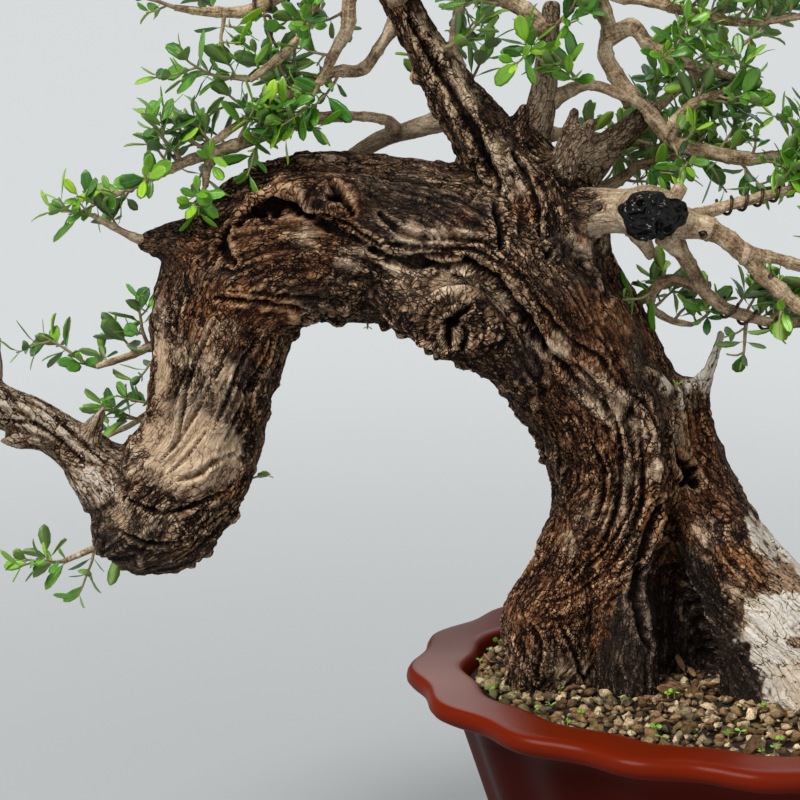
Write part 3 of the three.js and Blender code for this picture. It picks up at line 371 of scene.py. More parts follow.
# %% Where the limbs run: stations of x, y, z and radius
LIMBS = dict(notes("""
    trunk: -174 5 96 44, -170 5 139 54, -168 5 186 49, -159 5 243 42, -150 5 296 46, -157 5 341 52,
        -182 3 384 56, -215 0 426 60, -263 -2 453 58, -310 -5 464 53, -366 -8 464 53, -404 -10 440 52,
        -419 -14 400 44, -426 -18 358 40, -440 -22 318 42, -460 -26 288 44, -480 -28 268 35,
        -491 -28 257 20;
    dead_root: -108 12 366 15, -106 10 325 22, -97 2 285 29, -78 -10 240 41, -50 -24 190 54,
        -34 -30 142 64, -28 -30 104 50;
    spike: -104 9 342 14, -98 7 362 8, -92.5 4 376 5.2, -88 3 391 4.2, -84.5 1 404 3.4;
    heart: -112 30 100 50, -112 28 160 48, -116 24 230 42, -126 18 300 38;
    root_left: -178 -6 206 36, -192 -12 168 35, -206 -16 136 28, -216 -20 108 18;
    foot_swell: -180 -4 272 20, -184 -7 240 29, -192 -10 208 37, -191 -12 180 35, -192 -14 146 30;
    root_front: -150 -18 226 22, -146 -36 186 20, -146 -48 148 18, -148 -56 112 12;
    root_back: -140 36 235 34, -140 62 185 30, -140 84 140 24, -140 98 104 16;
    root_right: -24 -20 190 36, 18 -12 160 30, 50 -6 128 22, 66 -4 104 14;
    burl: -334 -32 446 6, -308 -38 440 18, -276 -42 426 25, -244 -42 406 24, -222 -38 384 17,
        -208 -32 362 6;
    snag: -425 -18 456 30, -450 -22 466 16, -471 -24 466 5;
    jin: -474 -27 290 32, -494 -28 309 25, -514 -30 329 17, -540 -32 348 15.5, -566 -33 360 14.5,
        -592 -30 373 11.5, -613 -26 393 7, -624 -24 412 2.5;
    jin_spur_up: -509 -34 329 10, -501 -38 347 6.5, -493 -42 362 2;
    jin_spur_low: -531 -40 338 7, -550 -46 338 5, -566 -50 341 1.5;
    jin_spur_far: -574 -30 364 8, -567 -28 382 5, -564 -26 405 1.8;
    apex: -204 0 446 38, -204 0 472 42, -215 0 500 33, -241 0 528 22, -262 4 556 17, -281 8 586 14.5,
        -313 16 647 11.5, -320 22 680 9.5, -300 30 728 5;
    broken_top: -205 8 485 20, -211 10 525 13, -207 12 550 10.5, -202 17 590 7.6, -200 20 620 6.8;
    two_prong: -196 -14 500 10, -188 -24 524 6.5, -175 -33 548 4;
    prong_left: -198 -10 502 9, -192 -18 530 6, -186 -22 554 3.6;
    rotten_stub: -214 -2 508 12, -220 -10 531 8.5, -221 -13 546 6, -218 -13 557 3.4;
    rotten_prong: -222 -8 522 8, -229 -12 540 5, -234 -14 551 2.4;
    black_cut: -190 2 494 15, -168 10 521 11.5, -146 14 538 8.6, -132 18 553 7;
    right_limb: -195 -8 480 28, -178 -24 487 17, -157 -36 489 15, -137 -42 488 15.5, -118 -44 483 11;
    cut_stub: -140 -38 491 16, -140 -52 491 17, -140 -64 491 16.5;
    pale_left: -252 18 546 10, -272 28 541 8, -295 42 533 6.6, -316 50 525 6.2, -338 42 510 6.4;
    right_low: -122 -46 483 8.5, -99 -50 478 7.2, -78 -52 463 6.6, -62 -54 446 5.8, -42 -56 429 5.6,
        -10 -56 415 5, 30 -48 416 4.2, 68 -36 428 3;
    right_mid: -80 -52 464 5.4, -59 -50 460 4.6, -30 -46 454 4, 5 -38 462 3.6, 45 -24 478 2.8;
    right_under: -126 -42 475 8, -117 -38 462 6, -109 -32 450 5.4, -98 -27 432 5.2, -79 -24 420 4.6,
        -48 -20 412 4, -8 -8 414 3.6, 34 14 424 2.8;
    wired_low: -99 -28 436 4.6, -119 -12 440 4.2, -130 -3 433 4, -132 2 420 3.4, -119 6 410 2.8,
        -104 8 406 2;
    right_stub: -128 -38 490 7, -122 -32 498 5, -117 -30 505 4;
    right_wired: -118 -42 483 6, -98 -34 489 4.4, -72 -28 495 3.8, -42 -22 502 3.3, 0 -12 512 2.8,
        42 2 522 2.2;
    under_stub: -146 -32 478 7, -140 -27 466 5, -135 -24 457 3.8;
    back_shelf: -200 16 556 6, -176 2 567 4, -152 0 559 4.4, -138 2 552 5.5, -120 4 531 6.4,
        -100 0 523 6.2, -64 -6 520 4.6, -20 -2 528 3.8, 24 8 540 2.8;
    back_fork: -124 4 534 5, -114 0 549 3.8, -104 -4 557 3.4, -88 -8 564 2.4;
    riser: -146 6 556 6, -156 14 570 6, -164 20 586 6, -162 25 606 5.6, -172 28 634 5, -186 28 664 4.4,
        -196 24 694 3.4;
    cut_shelf: -163 23 598 5.6, -146 16 603 6.2, -136 11 593 5.4, -118 6 583 4.5, -99 2 576 3.8,
        -82 0 572 3.4;
    high_shelf: -174 28 636 5, -155 23 624 4.8, -130 18 619 4.4, -100 11 611 3.8, -70 6 607 3,
        -36 2 612 2.4;
    cross_twig: -205 14 534 5, -180 30 531 4.6, -160 42 527 4, -142 46 524 4, -126 42 522 3,
        -100 32 522 2;
    low_shelf: -170 26 492 6, -150 28 503 4, -136 24 513 3.4, -112 18 519 2.6;
    upper_left: -300 16 612 6, -310 17 596 4.6, -325 14 576 4.4, -343 8 575 4.4, -362 2 566 4,
        -381 -4 557 3.8, -403 -8 544 3.2, -428 -14 527 2.2;
    long_left: -303 42 532 5, -311 26 542 4, -342 10 546 4, -370 4 541 4.4, -400 -5 531 5,
        -415 -8 526 5, -446 -14 516 3.9, -479 -20 501 2.6;
    left_drop: -420 -9 524 4.4, -426 -15 514 3.6, -427 -20 503 2.4;
    top_left: -311 16 652 6.5, -333 13 642 5.4, -362 8 632 4.6, -398 0 616 4.2, -424 -4 615 3.6,
        -446 -8 618 2.6;
    left_hanger: -330 13 645 5, -333 8 622 5.4, -335 4 604 5, -343 0 588 4.2, -353 -4 568 3;
    left_sweep: -350 9 636 4, -355 6 620 3.6, -364 1 600 3.4, -380 -4 584 3.2, -398 -8 571 2.4;
    snag_twig: -464 -24 466 4, -478 -28 473 2.8, -488 -32 479 2.6, -499 -36 486 1.9;
    hook_high: -425 8 392 8, -438 34 388 4.4, -464 48 386 4, -488 52 376 3, -510 54 368 2.2;
    hook_mid: -430 6 360 8, -444 32 352 3.8, -466 48 342 3, -486 54 328 2.2, -504 56 318 1.5;
    hook_low: -462 4 276 10, -484 28 258 3.6, -512 42 242 2.8, -536 48 230 2.2;
    crown_mid: -202 17 600 6.5, -222 28 617 6.2, -243 36 628 5.4, -263 40 642 4.4, -282 44 662 3;
    crown_left: -318 20 672 6, -340 34 690 4.8, -366 46 702 3.8, -396 52 708 2.6;
    crown_right: -312 27 704 6, -290 14 716 4.6, -262 4 728 3.8, -232 -2 734 2.6;
    crown_back: -236 8 522 12, -250 42 548 7, -262 74 580 5.4, -258 98 616 4.2, -240 112 650 3;
    crown_back_right: -186 18 486 16, -168 52 508 7.5, -140 82 530 5.6, -106 100 556 4.2, -66 108 582 3;
    crown_front: -302 8 620 8, -300 -18 646 5, -290 -44 668 4, -272 -64 684 2.8;
"""))
OLD_WOOD = list(LIMBS)[: list(LIMBS).index("right_low")]
TWIGGY = [name for name in LIMBS if name not in OLD_WOOD]
FLUTED = ("trunk", "dead_root", "heart", "apex")
DEPTH = {"trunk": 0.94, "cut_stub": 1.32}
HOLLOWS = dict(notes("""
    base: -124 -22 262 6, -118 -26 238 15, -106 -30 208 25, -100 -34 180 31, -99 -34 172 30;
    arch: -394 -45 488 5, -374 -49 492 10, -354 -53 486 10, -333 -58 474 8, -312 -60 464 5;
    long_groove: -300 -60 464 5, -252 -60 444 9, -222 -58 412 9, -198 -56 374 8, -170 -46 334 5;
"""))
print(len(OLD_WOOD), "limbs of old wood,", len(TWIGGY), "young limbs")


# %% Lines and tubes
def spline(stations, places):
    """A smooth curve through the stations; places run from 0 to 1."""
    count = len(stations)
    padded = np.vstack([2 * stations[0] - stations[1], stations, 2 * stations[-1] - stations[-2]])
    position = np.clip(places, 0, 1) * (count - 1)
    span = np.minimum(position.astype(int), count - 2)
    t = (position - span)[:, None]
    before, start, end, after = (padded[span + n] for n in range(4))
    leave, arrive = (end - before) / 2, (after - start) / 2
    bend = 3 * (end - start) - 2 * leave - arrive
    return start + t * (leave + t * (bend + t * (leave + arrive - 2 * (end - start))))


class Line:
    """A limb's line, sampled every `spacing` mm, with a frame that doesn't twist."""

    def __init__(self, stations, spacing):
        stations = np.array(stations, float)
        fine = np.linspace(0, 1, 40 * len(stations))
        steps = lengths(np.diff(spline(stations, fine)[:, :3], axis=0))
        travelled = np.concatenate([[0], np.cumsum(steps)])
        self.length = travelled[-1]
        count = max(3, round(self.length / spacing))
        self.along = np.linspace(0, self.length, count + 1)
        self.u = np.interp(self.along, travelled, fine)
        samples = spline(stations, self.u)
        self.points, self.radii = samples[:, :3], samples[:, 3]
        self.tangents = np.gradient(self.points, axis=0)
        self.tangents /= lengths(self.tangents)[:, None]
        across = np.array([0.0, 1, 0]) if abs(self.tangents[0, 1]) < 0.8 else np.array([1.0, 0, 0])
        self.across = []
        for tangent in self.tangents:
            across = across - tangent * (across @ tangent)
            across /= np.linalg.norm(across)
            self.across.append(across)
        self.across = np.array(self.across)
        self.sides = np.cross(self.tangents, self.across)


# %% Skins and tubes
def full_circle(count):
    return np.linspace(0, 2 * np.pi, count, endpoint=False)


def ribs(angle, u):
    """The long ribs of old wood, as a share of the radius."""
    return (
        1
        + 0.055 * np.sin(3 * angle + 5 * u + 0.6)
        + 0.045 * np.sin(5 * angle - 7 * u)
        + 0.03 * np.sin(8 * angle + 9 * u + 2)
    )


def skin(rings, ends):
    """The points and faces of a closed skin: rings of points, and a point to close each end."""
    points = np.vstack([*rings, ends])
    here = np.arange(len(points) - 2).reshape(len(rings), -1)
    following = np.roll(here, -1, axis=1)
    quads = np.stack([here[:-1], following[:-1], following[1:], here[1:]], axis=-1)
    here, following = here.tolist(), following.tolist()
    caps = [(len(points) - 2, b, a) for a, b in zip(here[0], following[0])]
    caps += [(len(points) - 1, a, b) for a, b in zip(here[-1], following[-1])]
    return points, quads.reshape(-1, 4).tolist() + caps


def tube(line, sides, reach=None, depth=1.0, bluntness=0.35):
    """The points and faces of a closed tube round a line."""
    angles = full_circle(sides)[:, None]
    reach = np.tile(line.radii[:, None], (1, sides)) if reach is None else reach
    outward = line.sides[:, None] * np.cos(angles) - depth * line.across[:, None] * np.sin(angles)
    rings = line.points[:, None] + reach[..., None] * outward
    ends = [
        line.points[end] + sign * bluntness * line.radii[end] * line.tangents[end]
        for end, sign in ((0, -1), (-1, 1))
    ]
    return skin(rings, ends)


# %% Meshes and pieces
def gather(parts):
    """Several (points, faces) as one."""
    points, faces, offset = [], [], 0
    for part_points, part_faces in parts:
        points.append(part_points)
        faces += [[i + offset for i in face] for face in part_faces]
        offset += len(part_points)
    return np.vstack(points), faces


def store(mesh, name, values):
    kind, key = ("FLOAT_VECTOR", "vector") if np.ndim(values) == 2 else ("FLOAT", "value")
    attribute = mesh.attributes.new(name, kind, "POINT")
    attribute.data.foreach_set(key, np.ravel(values).astype(np.float32))


def new_mesh(name, points, faces, **stored):
    """A mesh from points in mm. Its material can read what is stored at each point."""
    mesh = bpy.data.meshes.new(name)
    mesh.from_pydata(to_frame(points).tolist(), [], faces)
    mesh.shade_smooth()
    for key, values in stored.items():
        store(mesh, key, values)
    return mesh


def new_object(name, mesh, materials=()):
    for material in materials:
        mesh.materials.append(material)
    piece = bpy.data.objects.new(name, mesh)
    bpy.context.scene.collection.objects.link(piece)
    return piece


piece_sizes = {}


def seat(piece, slot, *nodes):
    """The piece belongs to the part: it rides on its one body and may stand for CAD nodes."""
    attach(piece, "root")
    if nodes:
        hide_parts(*nodes)
    piece_sizes[piece.name] = len(piece.data.loops) - 2 * len(piece.data.polygons)
    print(f"{piece.name}: {piece_sizes[piece.name]} triangles")


# %% [markdown]
# ## The old wood, in one skin
#
# On the tree the trunk, dead root, hook and stubs grew together, so their tubes must melt into one
# skin. Joining them with booleans would leave sharp seams. A voxel remesh wraps all the tubes in
# one even net instead, fine enough to carve. The rotted hollows are cut out first, with a boolean,
# because a hollow pushed in from the surface would stretch the net.

# %% Wrap the old wood
FIRST_VOXEL = 3.0
WOOD_VOXEL = 1.62


def limb_tube(stations, sides, spacing, fluted=False, depth=1.0):
    line = Line(stations, spacing)
    reach = line.radii[:, None] * np.ones(sides)
    if fluted:
        reach = reach * ribs(full_circle(sides)[None], line.u[:, None])
    return tube(line, sides, reach, depth)


def wrap_old_wood():
    solids = [limb_tube(LIMBS[name], 36, 6, name in FLUTED, DEPTH.get(name, 1.0)) for name in OLD_WOOD]
    draft = new_object("old_wood_draft", new_mesh("old_wood_draft", *gather(solids)))
    cutters = [limb_tube(stations, 20, 6) for stations in HOLLOWS.values()]
    cutter = new_object("hollows", new_mesh("hollows", *gather(cutters)))
    for voxel in (FIRST_VOXEL, WOOD_VOXEL):
        if voxel == WOOD_VOXEL:
            cut = draft.modifiers.new("cut", "BOOLEAN")
            cut.object, cut.operation, cut.solver = cutter, "DIFFERENCE", "EXACT"
        remesh = draft.modifiers.new("wrap", "REMESH")
        remesh.mode, remesh.voxel_size = "VOXEL", voxel * MM
    smooth = draft.modifiers.new("relax", "SMOOTH")
    smooth.factor, smooth.iterations = 0.5, 7
    graph = bpy.context.evaluated_depsgraph_get()
    mesh = bpy.data.meshes.new_from_object(draft.evaluated_get(graph))
    for helper in (draft, cutter):
        bpy.data.objects.remove(helper)
    return mesh


wood_mesh = wrap_old_wood()
print("old wood:", len(wood_mesh.vertices), "points,", len(wood_mesh.polygons), "faces")


# %% Read the net into numpy
def read(values, name, width, kind=float):
    """One property of every item of a mesh, as rows of `width` numbers."""
    flat = np.empty(len(values) * width, kind)
    values.foreach_get(name, flat)
    return flat.reshape(-1, width)


def normals_of(points, triangles):
    a, b, c = (points[triangles[:, n]] for n in range(3))
    facing = np.cross(b - a, c - a)
    corners = triangles.T.ravel()
    sums = [np.bincount(corners, np.tile(facing[:, axis], 3), len(points)) for axis in range(3)]
    total = np.stack(sums, axis=1)
    return total / np.maximum(lengths(total), 1e-9)[:, None]


def spread(values, edges, passes, share=0.5):
    """Each value drawn towards the mean of its neighbours, `passes` times."""
    values = np.array(values, float)
    flat = values.reshape(len(values), -1)
    ends = np.concatenate([edges[:, 0], edges[:, 1]])
    others = np.concatenate([edges[:, 1], edges[:, 0]])
    count = np.maximum(np.bincount(ends, minlength=len(flat)), 1)
    for _ in range(passes):
        for column in range(flat.shape[1]):
            mean = np.bincount(ends, flat[others, column], len(flat)) / count
            flat[:, column] += share * (mean - flat[:, column])
    return flat.reshape(values.shape)


def blur(values, reach):
    """Values smoothed over about `reach` mm of the wood's net, however fine the net is."""
    return spread(values, wood_edges, max(1, round(4 * (reach / WOOD_VOXEL) ** 2)))


wood_mesh.calc_loop_triangles()
wood_points = to_mm(read(wood_mesh.vertices, "co", 3))
wood_triangles = read(wood_mesh.loop_triangles, "vertices", 3, int)
wood_edges = read(wood_mesh.edges, "vertices", 2, int)
print("old wood from", wood_points.min(0).round(), "to", wood_points.max(0).round())

# %% [markdown]
# ## Which way the grain runs
#
# Olive bark splits along the limb it grows on. So each point of the net is told its place on its
# limb, as if that limb were straightened out: how far along, and how far round. Noise stretched
# along that length gives fibres that follow every bend. Where two limbs meet, the point belongs
# partly to both, and its fibres blend. A slow wander, the same for every layer, keeps the fibres
# from looking ruled.

# %% Straighten the limbs
LINES = {name: Line(LIMBS[name], 3) for name in OLD_WOOD}
FIBRE_TWIST = {"trunk": 0.0045, "dead_root": -0.006, "apex": 0.006, "jin": 0.008}
MELT = 6.0
WANDER = 16.0


def place_on(line, points, twist):
    """Distance outside the limb, the straightened place (along, and two ways across) and radius."""
    squares = (points**2).sum(1)[:, None] - 2 * points @ line.points.T + (line.points**2).sum(1)
    outside = np.sqrt(np.maximum(squares, 0)) - line.radii[None]
    nearest = outside.argmin(1)
    offset = points - line.points[nearest]
    along = line.along[nearest] + (offset * line.tangents[nearest]).sum(1)
    side = (offset * line.sides[nearest]).sum(1)
    across = (offset * line.across[nearest]).sum(1)
    radius = line.radii[nearest]
    scale = radius / np.maximum(np.hypot(side, across), 1e-6)
    turn = twist * along
    round_x = scale * (side * np.cos(turn) - across * np.sin(turn))
    round_y = scale * (side * np.sin(turn) + across * np.cos(turn))
    return np.stack([outside.min(1), along, round_x, round_y, radius], axis=1)


def two_nearest_limbs(points):
    best = np.full((len(points), 6), 1e9)
    second = best.copy()
    for number, (name, line) in enumerate(LINES.items()):
        place = place_on(line, points, FIBRE_TWIST.get(name, 0.003))
        place = np.column_stack([place, np.full(len(points), number)])
        closer = place[:, 0] < best[:, 0]
        runner_up = ~closer & (place[:, 0] < second[:, 0])
        second[closer] = best[closer]
        best[closer] = place[closer]
        second[runner_up] = place[runner_up]
    return best, second


def chunked(function, points, size=20000):
    parts = [function(points[start : start + size]) for start in range(0, len(points), size)]
    return [np.concatenate(columns) for columns in zip(*parts)]


first_limb, second_limb = chunked(two_nearest_limbs, wood_points)
first_share = 1 / (1 + np.exp((first_limb[:, 0] - second_limb[:, 0]) / MELT))
limb_names = np.array(list(LINES))[first_limb[:, 5].astype(int)]
wander = WANDER * (np.stack([clouds(wood_points / 38, 2, seed) for seed in (1, 2, 3)], axis=1) - 0.5)
print("points on the trunk:", int((limb_names == "trunk").sum()))

# %% [markdown]
# ## Marks of age
#
# Some marks belong to this tree alone: the furrow that runs the length of the arch, the eye of an
# old wound, the slit beside the dead root. They are given as a grower would point them out from
# the front, on the 800-unit square that the camera sees, and a ray from the camera finds the bark
# there. So each mark lies on the wood, and not in front of it.

# %% Find a point on the bark
bark_finder = BVHTree.FromPolygons([Vector(p) for p in wood_points], wood_triangles.tolist())
VIEW_REACH = CAMERA["distance"] * math.tan(math.radians(CAMERA["field"] / 2))


def on_bark(x, y):
    """The bark's point behind a place in the camera's square."""
    half = PICTURE_SIDE / 2
    across, up = VIEW_REACH * (x - half) / half, VIEW_REACH * (half - y) / half
    aim = np.array(CAMERA["aim"]) + across * np.array([1, 0, 0]) + up * CAMERA_UP
    direction = Vector(aim - CAMERA_PLACE)
    hit = bark_finder.ray_cast(Vector(CAMERA_PLACE), direction.normalized())[0]
    if hit is None:
        hit = bark_finder.find_nearest(Vector(aim))[0]
    return np.array(hit)


def trace(places, spacing=2.5):
    """A line of points on the bark through places in the camera's square."""
    stations = np.array([on_bark(x, y) for x, y in places])
    length = lengths(np.diff(stations, axis=0)).sum()
    return spline(stations, np.linspace(0, 1, max(3, int(length / spacing))))


ragged = 2 * clouds(wood_points / 5.5, 2, 71) - 1


def apart(path, reach):
    """Distance from a path in its own widths, larger near its thin ends; far points get 9."""
    distance = np.full(len(wood_points), 9.0)
    low, high = path.min(0) - 4 * reach, path.max(0) + 4 * reach
    close = np.flatnonzero(np.all((wood_points > low) & (wood_points < high), axis=1))
    squares = ((wood_points[close, None] - path[None]) ** 2).sum(2)
    share = squares.argmin(1) / (len(path) - 1)
    width = reach * (0.4 + 0.6 * np.sin(np.pi * np.clip(share, 0.02, 0.98)) ** 0.5)
    distance[close] = np.maximum(0, np.sqrt(squares.min(1)) / width + 0.5 * ragged[close])
    return distance


# %% The marks: half width and depth or height in mm, and the path in the camera's square
FURROWS = notes("""
    4.2 8: 372 251, 404 262, 440 264, 473 262;
    5.2 9: 468 260, 499 286, 522 316, 546 350;
    2.4 5: 540 344, 562 364, 584 390, 604 408, 618 430;
    2 4: 492 252, 520 274, 544 311, 567 340, 600 358, 614 380, 645 405, 656 440;
    3.2 8: 467 309, 456 318, 449 330, 450 342;
    2 5: 459 322, 466 333, 463 346;
    1.6 3: 446 318, 438 330, 440 344;
    1.3 2.6: 484 306, 494 324, 492 344, 480 358;
    1.2 2.4: 476 314, 483 330, 479 346;
    1.3 2.6: 434 304, 427 322, 433 341;
    1.2 2.4: 420 304, 414 322, 419 342;
    2.6 5: 380 214, 398 229, 420 238, 471 238, 500 243;
    2.4 4: 396 258, 439 254, 474 258;
    2.4 4: 384 244, 420 247, 468 250, 492 258, 520 280;
    1.8 4: 596 236, 614 264, 630 292, 644 322, 656 350;
    6.5 9: 238 222, 262 209, 288 205, 308 213;
    5 4: 300 210, 320 220, 344 234, 370 246;
    2.4 6: 304 206, 330 216, 354 230, 380 246;
    4 8: 228 226, 221 238, 224 252, 233 262;
    2.6 4: 212 236, 216 250, 212 264;
    3.4 6: 330 184, 341 197, 352 212;
    2.4 5: 215 298, 248 301, 279 306, 308 308;
    2.2 3: 230 292, 262 294, 300 298, 330 300;
    1.8 5: 216 318, 203 345, 190 378, 183 410, 176 440, 160 462;
    0.9 2.5: 201 440, 192 452, 182 462;
    1.6 4: 222 366, 205 395, 188 424, 176 446;
    1.5 4: 206 430, 194 446, 180 463, 168 474;
    2.2 5: 178 480, 198 474, 216 462, 236 452;
    6 11: 678 404, 675 431, 678 457, 690 474;
    8 12: 684 470, 694 480;
    4.5 6: 660 500, 645 545, 636 580, 640 620, 650 650;
    2.2 4: 590 440, 603 470, 600 505, 585 540;
    2.2 4: 614 420, 622 450, 618 500, 600 545, 568 580;
    2.4 4: 640 430, 643 470, 640 510, 622 550, 596 580;
    1.4 2.6: 652 500, 630 548, 598 580, 566 598, 536 604;
    1.4 2.6: 640 490, 616 536, 590 566, 560 584;
    1.3 2.4: 668 528, 648 568, 614 598, 584 616, 552 628, 522 626;
    2 4: 520 606, 540 640, 538 680;
    2 4: 560 625, 575 655, 586 684;
    4 8: 502 246, 498 214, 494 180, 478 140, 455 96, 432 56, 410 20;
    3 6: 540 236, 534 200, 522 172, 512 150;
    2.4 4: 470 200, 478 180, 474 150;
    2 3: 20 396, 48 412, 76 436, 104 462;
    1.8 3: 0 420, 34 424, 60 440, 84 462;
    1.4 2.5: 552 262, 576 298, 600 336, 622 366;
    2 4: 264 330, 250 352, 232 388, 214 430;
    2.6 4: 274 340, 262 370, 240 410, 226 440;
    2 4: 130 500, 160 512, 196 505, 236 486;
    2 4: 120 530, 150 545, 190 535, 224 512;
""")
CRESTS = notes("""
    3.6 4.5: 456 309, 469 299, 484 300, 499 316, 510 332, 518 350;
    4 5: 548 340, 566 352, 590 368, 613 388, 636 409, 650 432, 656 460, 656 488;
    4 4.5: 558 372, 583 400, 605 420, 621 438, 629 458, 625 480, 624 512;
    4 5: 250 200, 268 193, 290 192, 308 202, 328 218;
    4 4: 262 228, 284 234, 313 246, 345 262, 378 276;
    4.5 3.6: 662 518, 642 560, 608 586, 580 604, 556 614;
    4 4: 516 640, 528 664, 536 684;
    3.5 4: 486 128, 500 160, 512 196, 514 232;
    4 3: 130 448, 152 466, 178 470, 198 462;
    3 3: 0 404, 30 410, 60 430, 84 454;
    4 4.5: 560 210, 574 236, 590 262, 602 290;
    5 4: 646 372, 664 384, 684 388, 700 376;
""")
# middle; radius of the swirl, its swelling, and the width and depth of its eye, in mm
KNOTS = [
    ((453, 322), 31, 6, 4.5, 5),
    ((448, 288), 20, 2, 1, -2),
    ((335, 198), 14, 4, 4, 7),
    ((599, 207), 4, 0.5, 2.2, 2),
    ((166, 316), 9, 3, 2.5, -1),
    ((548, 252), 10, 2, 3.5, 6),
    ((246, 448), 10, 3, 3, 4),
]

furrow_paths, crest_paths = (
    [(*numbers(sizes), trace(places)) for sizes, places in marks] for marks in (FURROWS, CRESTS)
)
knots = [(on_bark(*place), *sizes) for place, *sizes in KNOTS]
print(len(furrow_paths), "furrows,", len(crest_paths), "crests,", len(knots), "knots")


# %% Fibres that bend round knots
def knot_view(middle, radius):
    """How much a point belongs to a knot, and its place round it: two of turn and one outward."""
    offset = wood_points - middle
    across, up = offset @ np.array([1.0, 0, 0]), offset @ CAMERA_UP
    outward = np.hypot(across, up)
    distance = lengths(offset * (0.85, 1, 1.15))
    belongs = smoothstep(1.25, 0.75, distance / radius)
    turn = np.stack([across, up], axis=1) / np.maximum(outward, 1e-6)[:, None]
    return belongs, np.column_stack([distance + 0.35 * wander[:, 0], 0.5 * radius * turn])


swirl = np.zeros(len(wood_points))
knot_place = np.zeros((len(wood_points), 3))
for middle, radius, *_ in knots:
    belongs, place = knot_view(middle, radius)
    knot_place[belongs > swirl] = place[belongs > swirl]
    swirl = np.maximum(swirl, belongs)


def fibres(along, across, seed, octaves=1):
    """Noise `along` mm long and `across` mm wide, laid along the grain."""
    total = np.zeros(len(wood_points))
    for limb, share in ((first_limb, first_share), (second_limb, 1 - first_share)):
        place = (limb[:, 1:4] + wander) / (along, across, across) + 31.7 * limb[:, 5:6]
        total += share * clouds(place, octaves, seed)
    round_knot = clouds(knot_place / (across, along, along), octaves, seed + 3)
    return total + swirl * (round_knot - total)


def veins(values, width):
    """Narrow lines where a noise passes its middle: 1 on the line and 0 away from it."""
    return np.exp(-(((2 * values - 1) / width) ** 2))


def cells(points, seed):
    """Broken plates: how far each point is from its plate's edge, and its plate's own chance."""
    base = np.floor(points)
    nearest = np.full(len(points), 9.0)
    second = nearest.copy()
    chance = np.zeros(len(points))
    for step in np.ndindex(3, 3, 3):
        cell = base + step - 1
        seeds = cell + np.stack([cell_chance(cell, seed + n) for n in range(3)], axis=1)
        distance = lengths(points - seeds)
        closer = distance < nearest
        second = np.where(closer, nearest, np.minimum(second, distance))
        chance = np.where(closer, cell_chance(cell, seed + 3), chance)
        nearest = np.where(closer, distance, nearest)
    return second - nearest, chance


# %% [markdown]
# ## Carve the bark
#
# The relief is a sum of layers, each at the scale of something real: flutes as wide as a finger,
# ropes of wood between long splits, rows of small plates that crack across the grain, and the
# marks of age. Dead wood has lost its bark, so it keeps only long fine checks. The sum moves each
# point in or out. Its difference from its own blurred copy is stored too: bark is pale on its worn
# crests, and its splits are painted black as painted shade.

# %% Bare wood and young wood
DEAD = ("jin", "jin_spur_up", "jin_spur_low", "jin_spur_far", "spike")
SMOOTH_BARKED = ("right_limb", "cut_stub")
THIN_BARKED = ("broken_top", "two_prong", "prong_left", "black_cut", "snag", "rotten_stub", "rotten_prong")


def on_limbs(*names):
    return np.isin(limb_names, names).astype(float)


rough = clouds(wood_points / 36, 3, 5)
x_mm, _, z_mm = wood_points.T


def near(x, y, reach, stretch=(1, 1, 1)):
    """1 at a place on the bark, fading to a ragged edge `reach` mm away."""
    distance = lengths((wood_points - on_bark(x, y)) * stretch)
    return smoothstep(1.25, 0.6, distance / reach + 1.5 * (rough - 0.5) + 0.4 * ragged)


def near_any(*spots):
    return np.maximum.reduce([near(*spot) for spot in spots])


# place in the camera's square, reach in mm, and sometimes how its axes are stretched
BARK_ON_DEAD_ROOT = [(746, 580, 13, (1, 1, 0.5)), (730, 548, 10, (1.2, 1, 0.5))]
TORN_BARK = [(662, 386, 14), (688, 388, 16), (94, 474, 9), (110, 494, 8)]
OLD_BARK_ON_LIMB = [(668, 243, 8), (640, 240, 6)]
WORN_SMOOTH = [(176, 452, 24, (0.7, 1, 1)), (160, 360, 11, (1.6, 1, 0.36))]
CALM_SIDE = [(598, 262, 26), (618, 306, 28), (638, 350, 24)]


def bare_wood():
    """Where the bark has gone and the wood has bleached."""
    root_edge = x_mm + 70 * (rough - 0.5) - 0.28 * (z_mm - 200)
    root = on_limbs("dead_root", "root_right") * smoothstep(-96, -80, root_edge + 12 * ragged)
    root = root * (1 - 0.8 * near_any(*BARK_ON_DEAD_ROOT))
    torn = near_any(*TORN_BARK)
    risen = smoothstep(338, 366, z_mm + 24 * (rough - 0.5) + 8 * ragged)
    limbs = 0.66 * on_limbs(*DEAD[:-1]) + 0.9 * on_limbs("spike") * risen
    return blur(np.maximum.reduce([limbs, 0.8 * torn, root]), 2)


def young_wood():
    """Where the bark is still thin, smooth and pale."""
    limb = on_limbs(*SMOOTH_BARKED) * smoothstep(-190, -172, x_mm + 30 * (rough - 0.5) + 8 * ragged)
    limb = limb * (1 - 0.85 * near_any(*OLD_BARK_ON_LIMB))
    stubs = 0.4 * on_limbs("black_cut") + 0.3 * on_limbs("two_prong", "prong_left")
    top = 0.6 * on_limbs("broken_top") * smoothstep(520, 545, z_mm)
    return blur(np.maximum.reduce([limb, on_limbs("pale_left") + stubs, top]), 1.5)


dead, young = bare_wood(), young_wood()
worn_smooth, calm_side = near_any(*WORN_SMOOTH), near_any(*CALM_SIDE)
print(f"bare: {dead.mean():.2f} of the wood, young: {young.mean():.2f}")


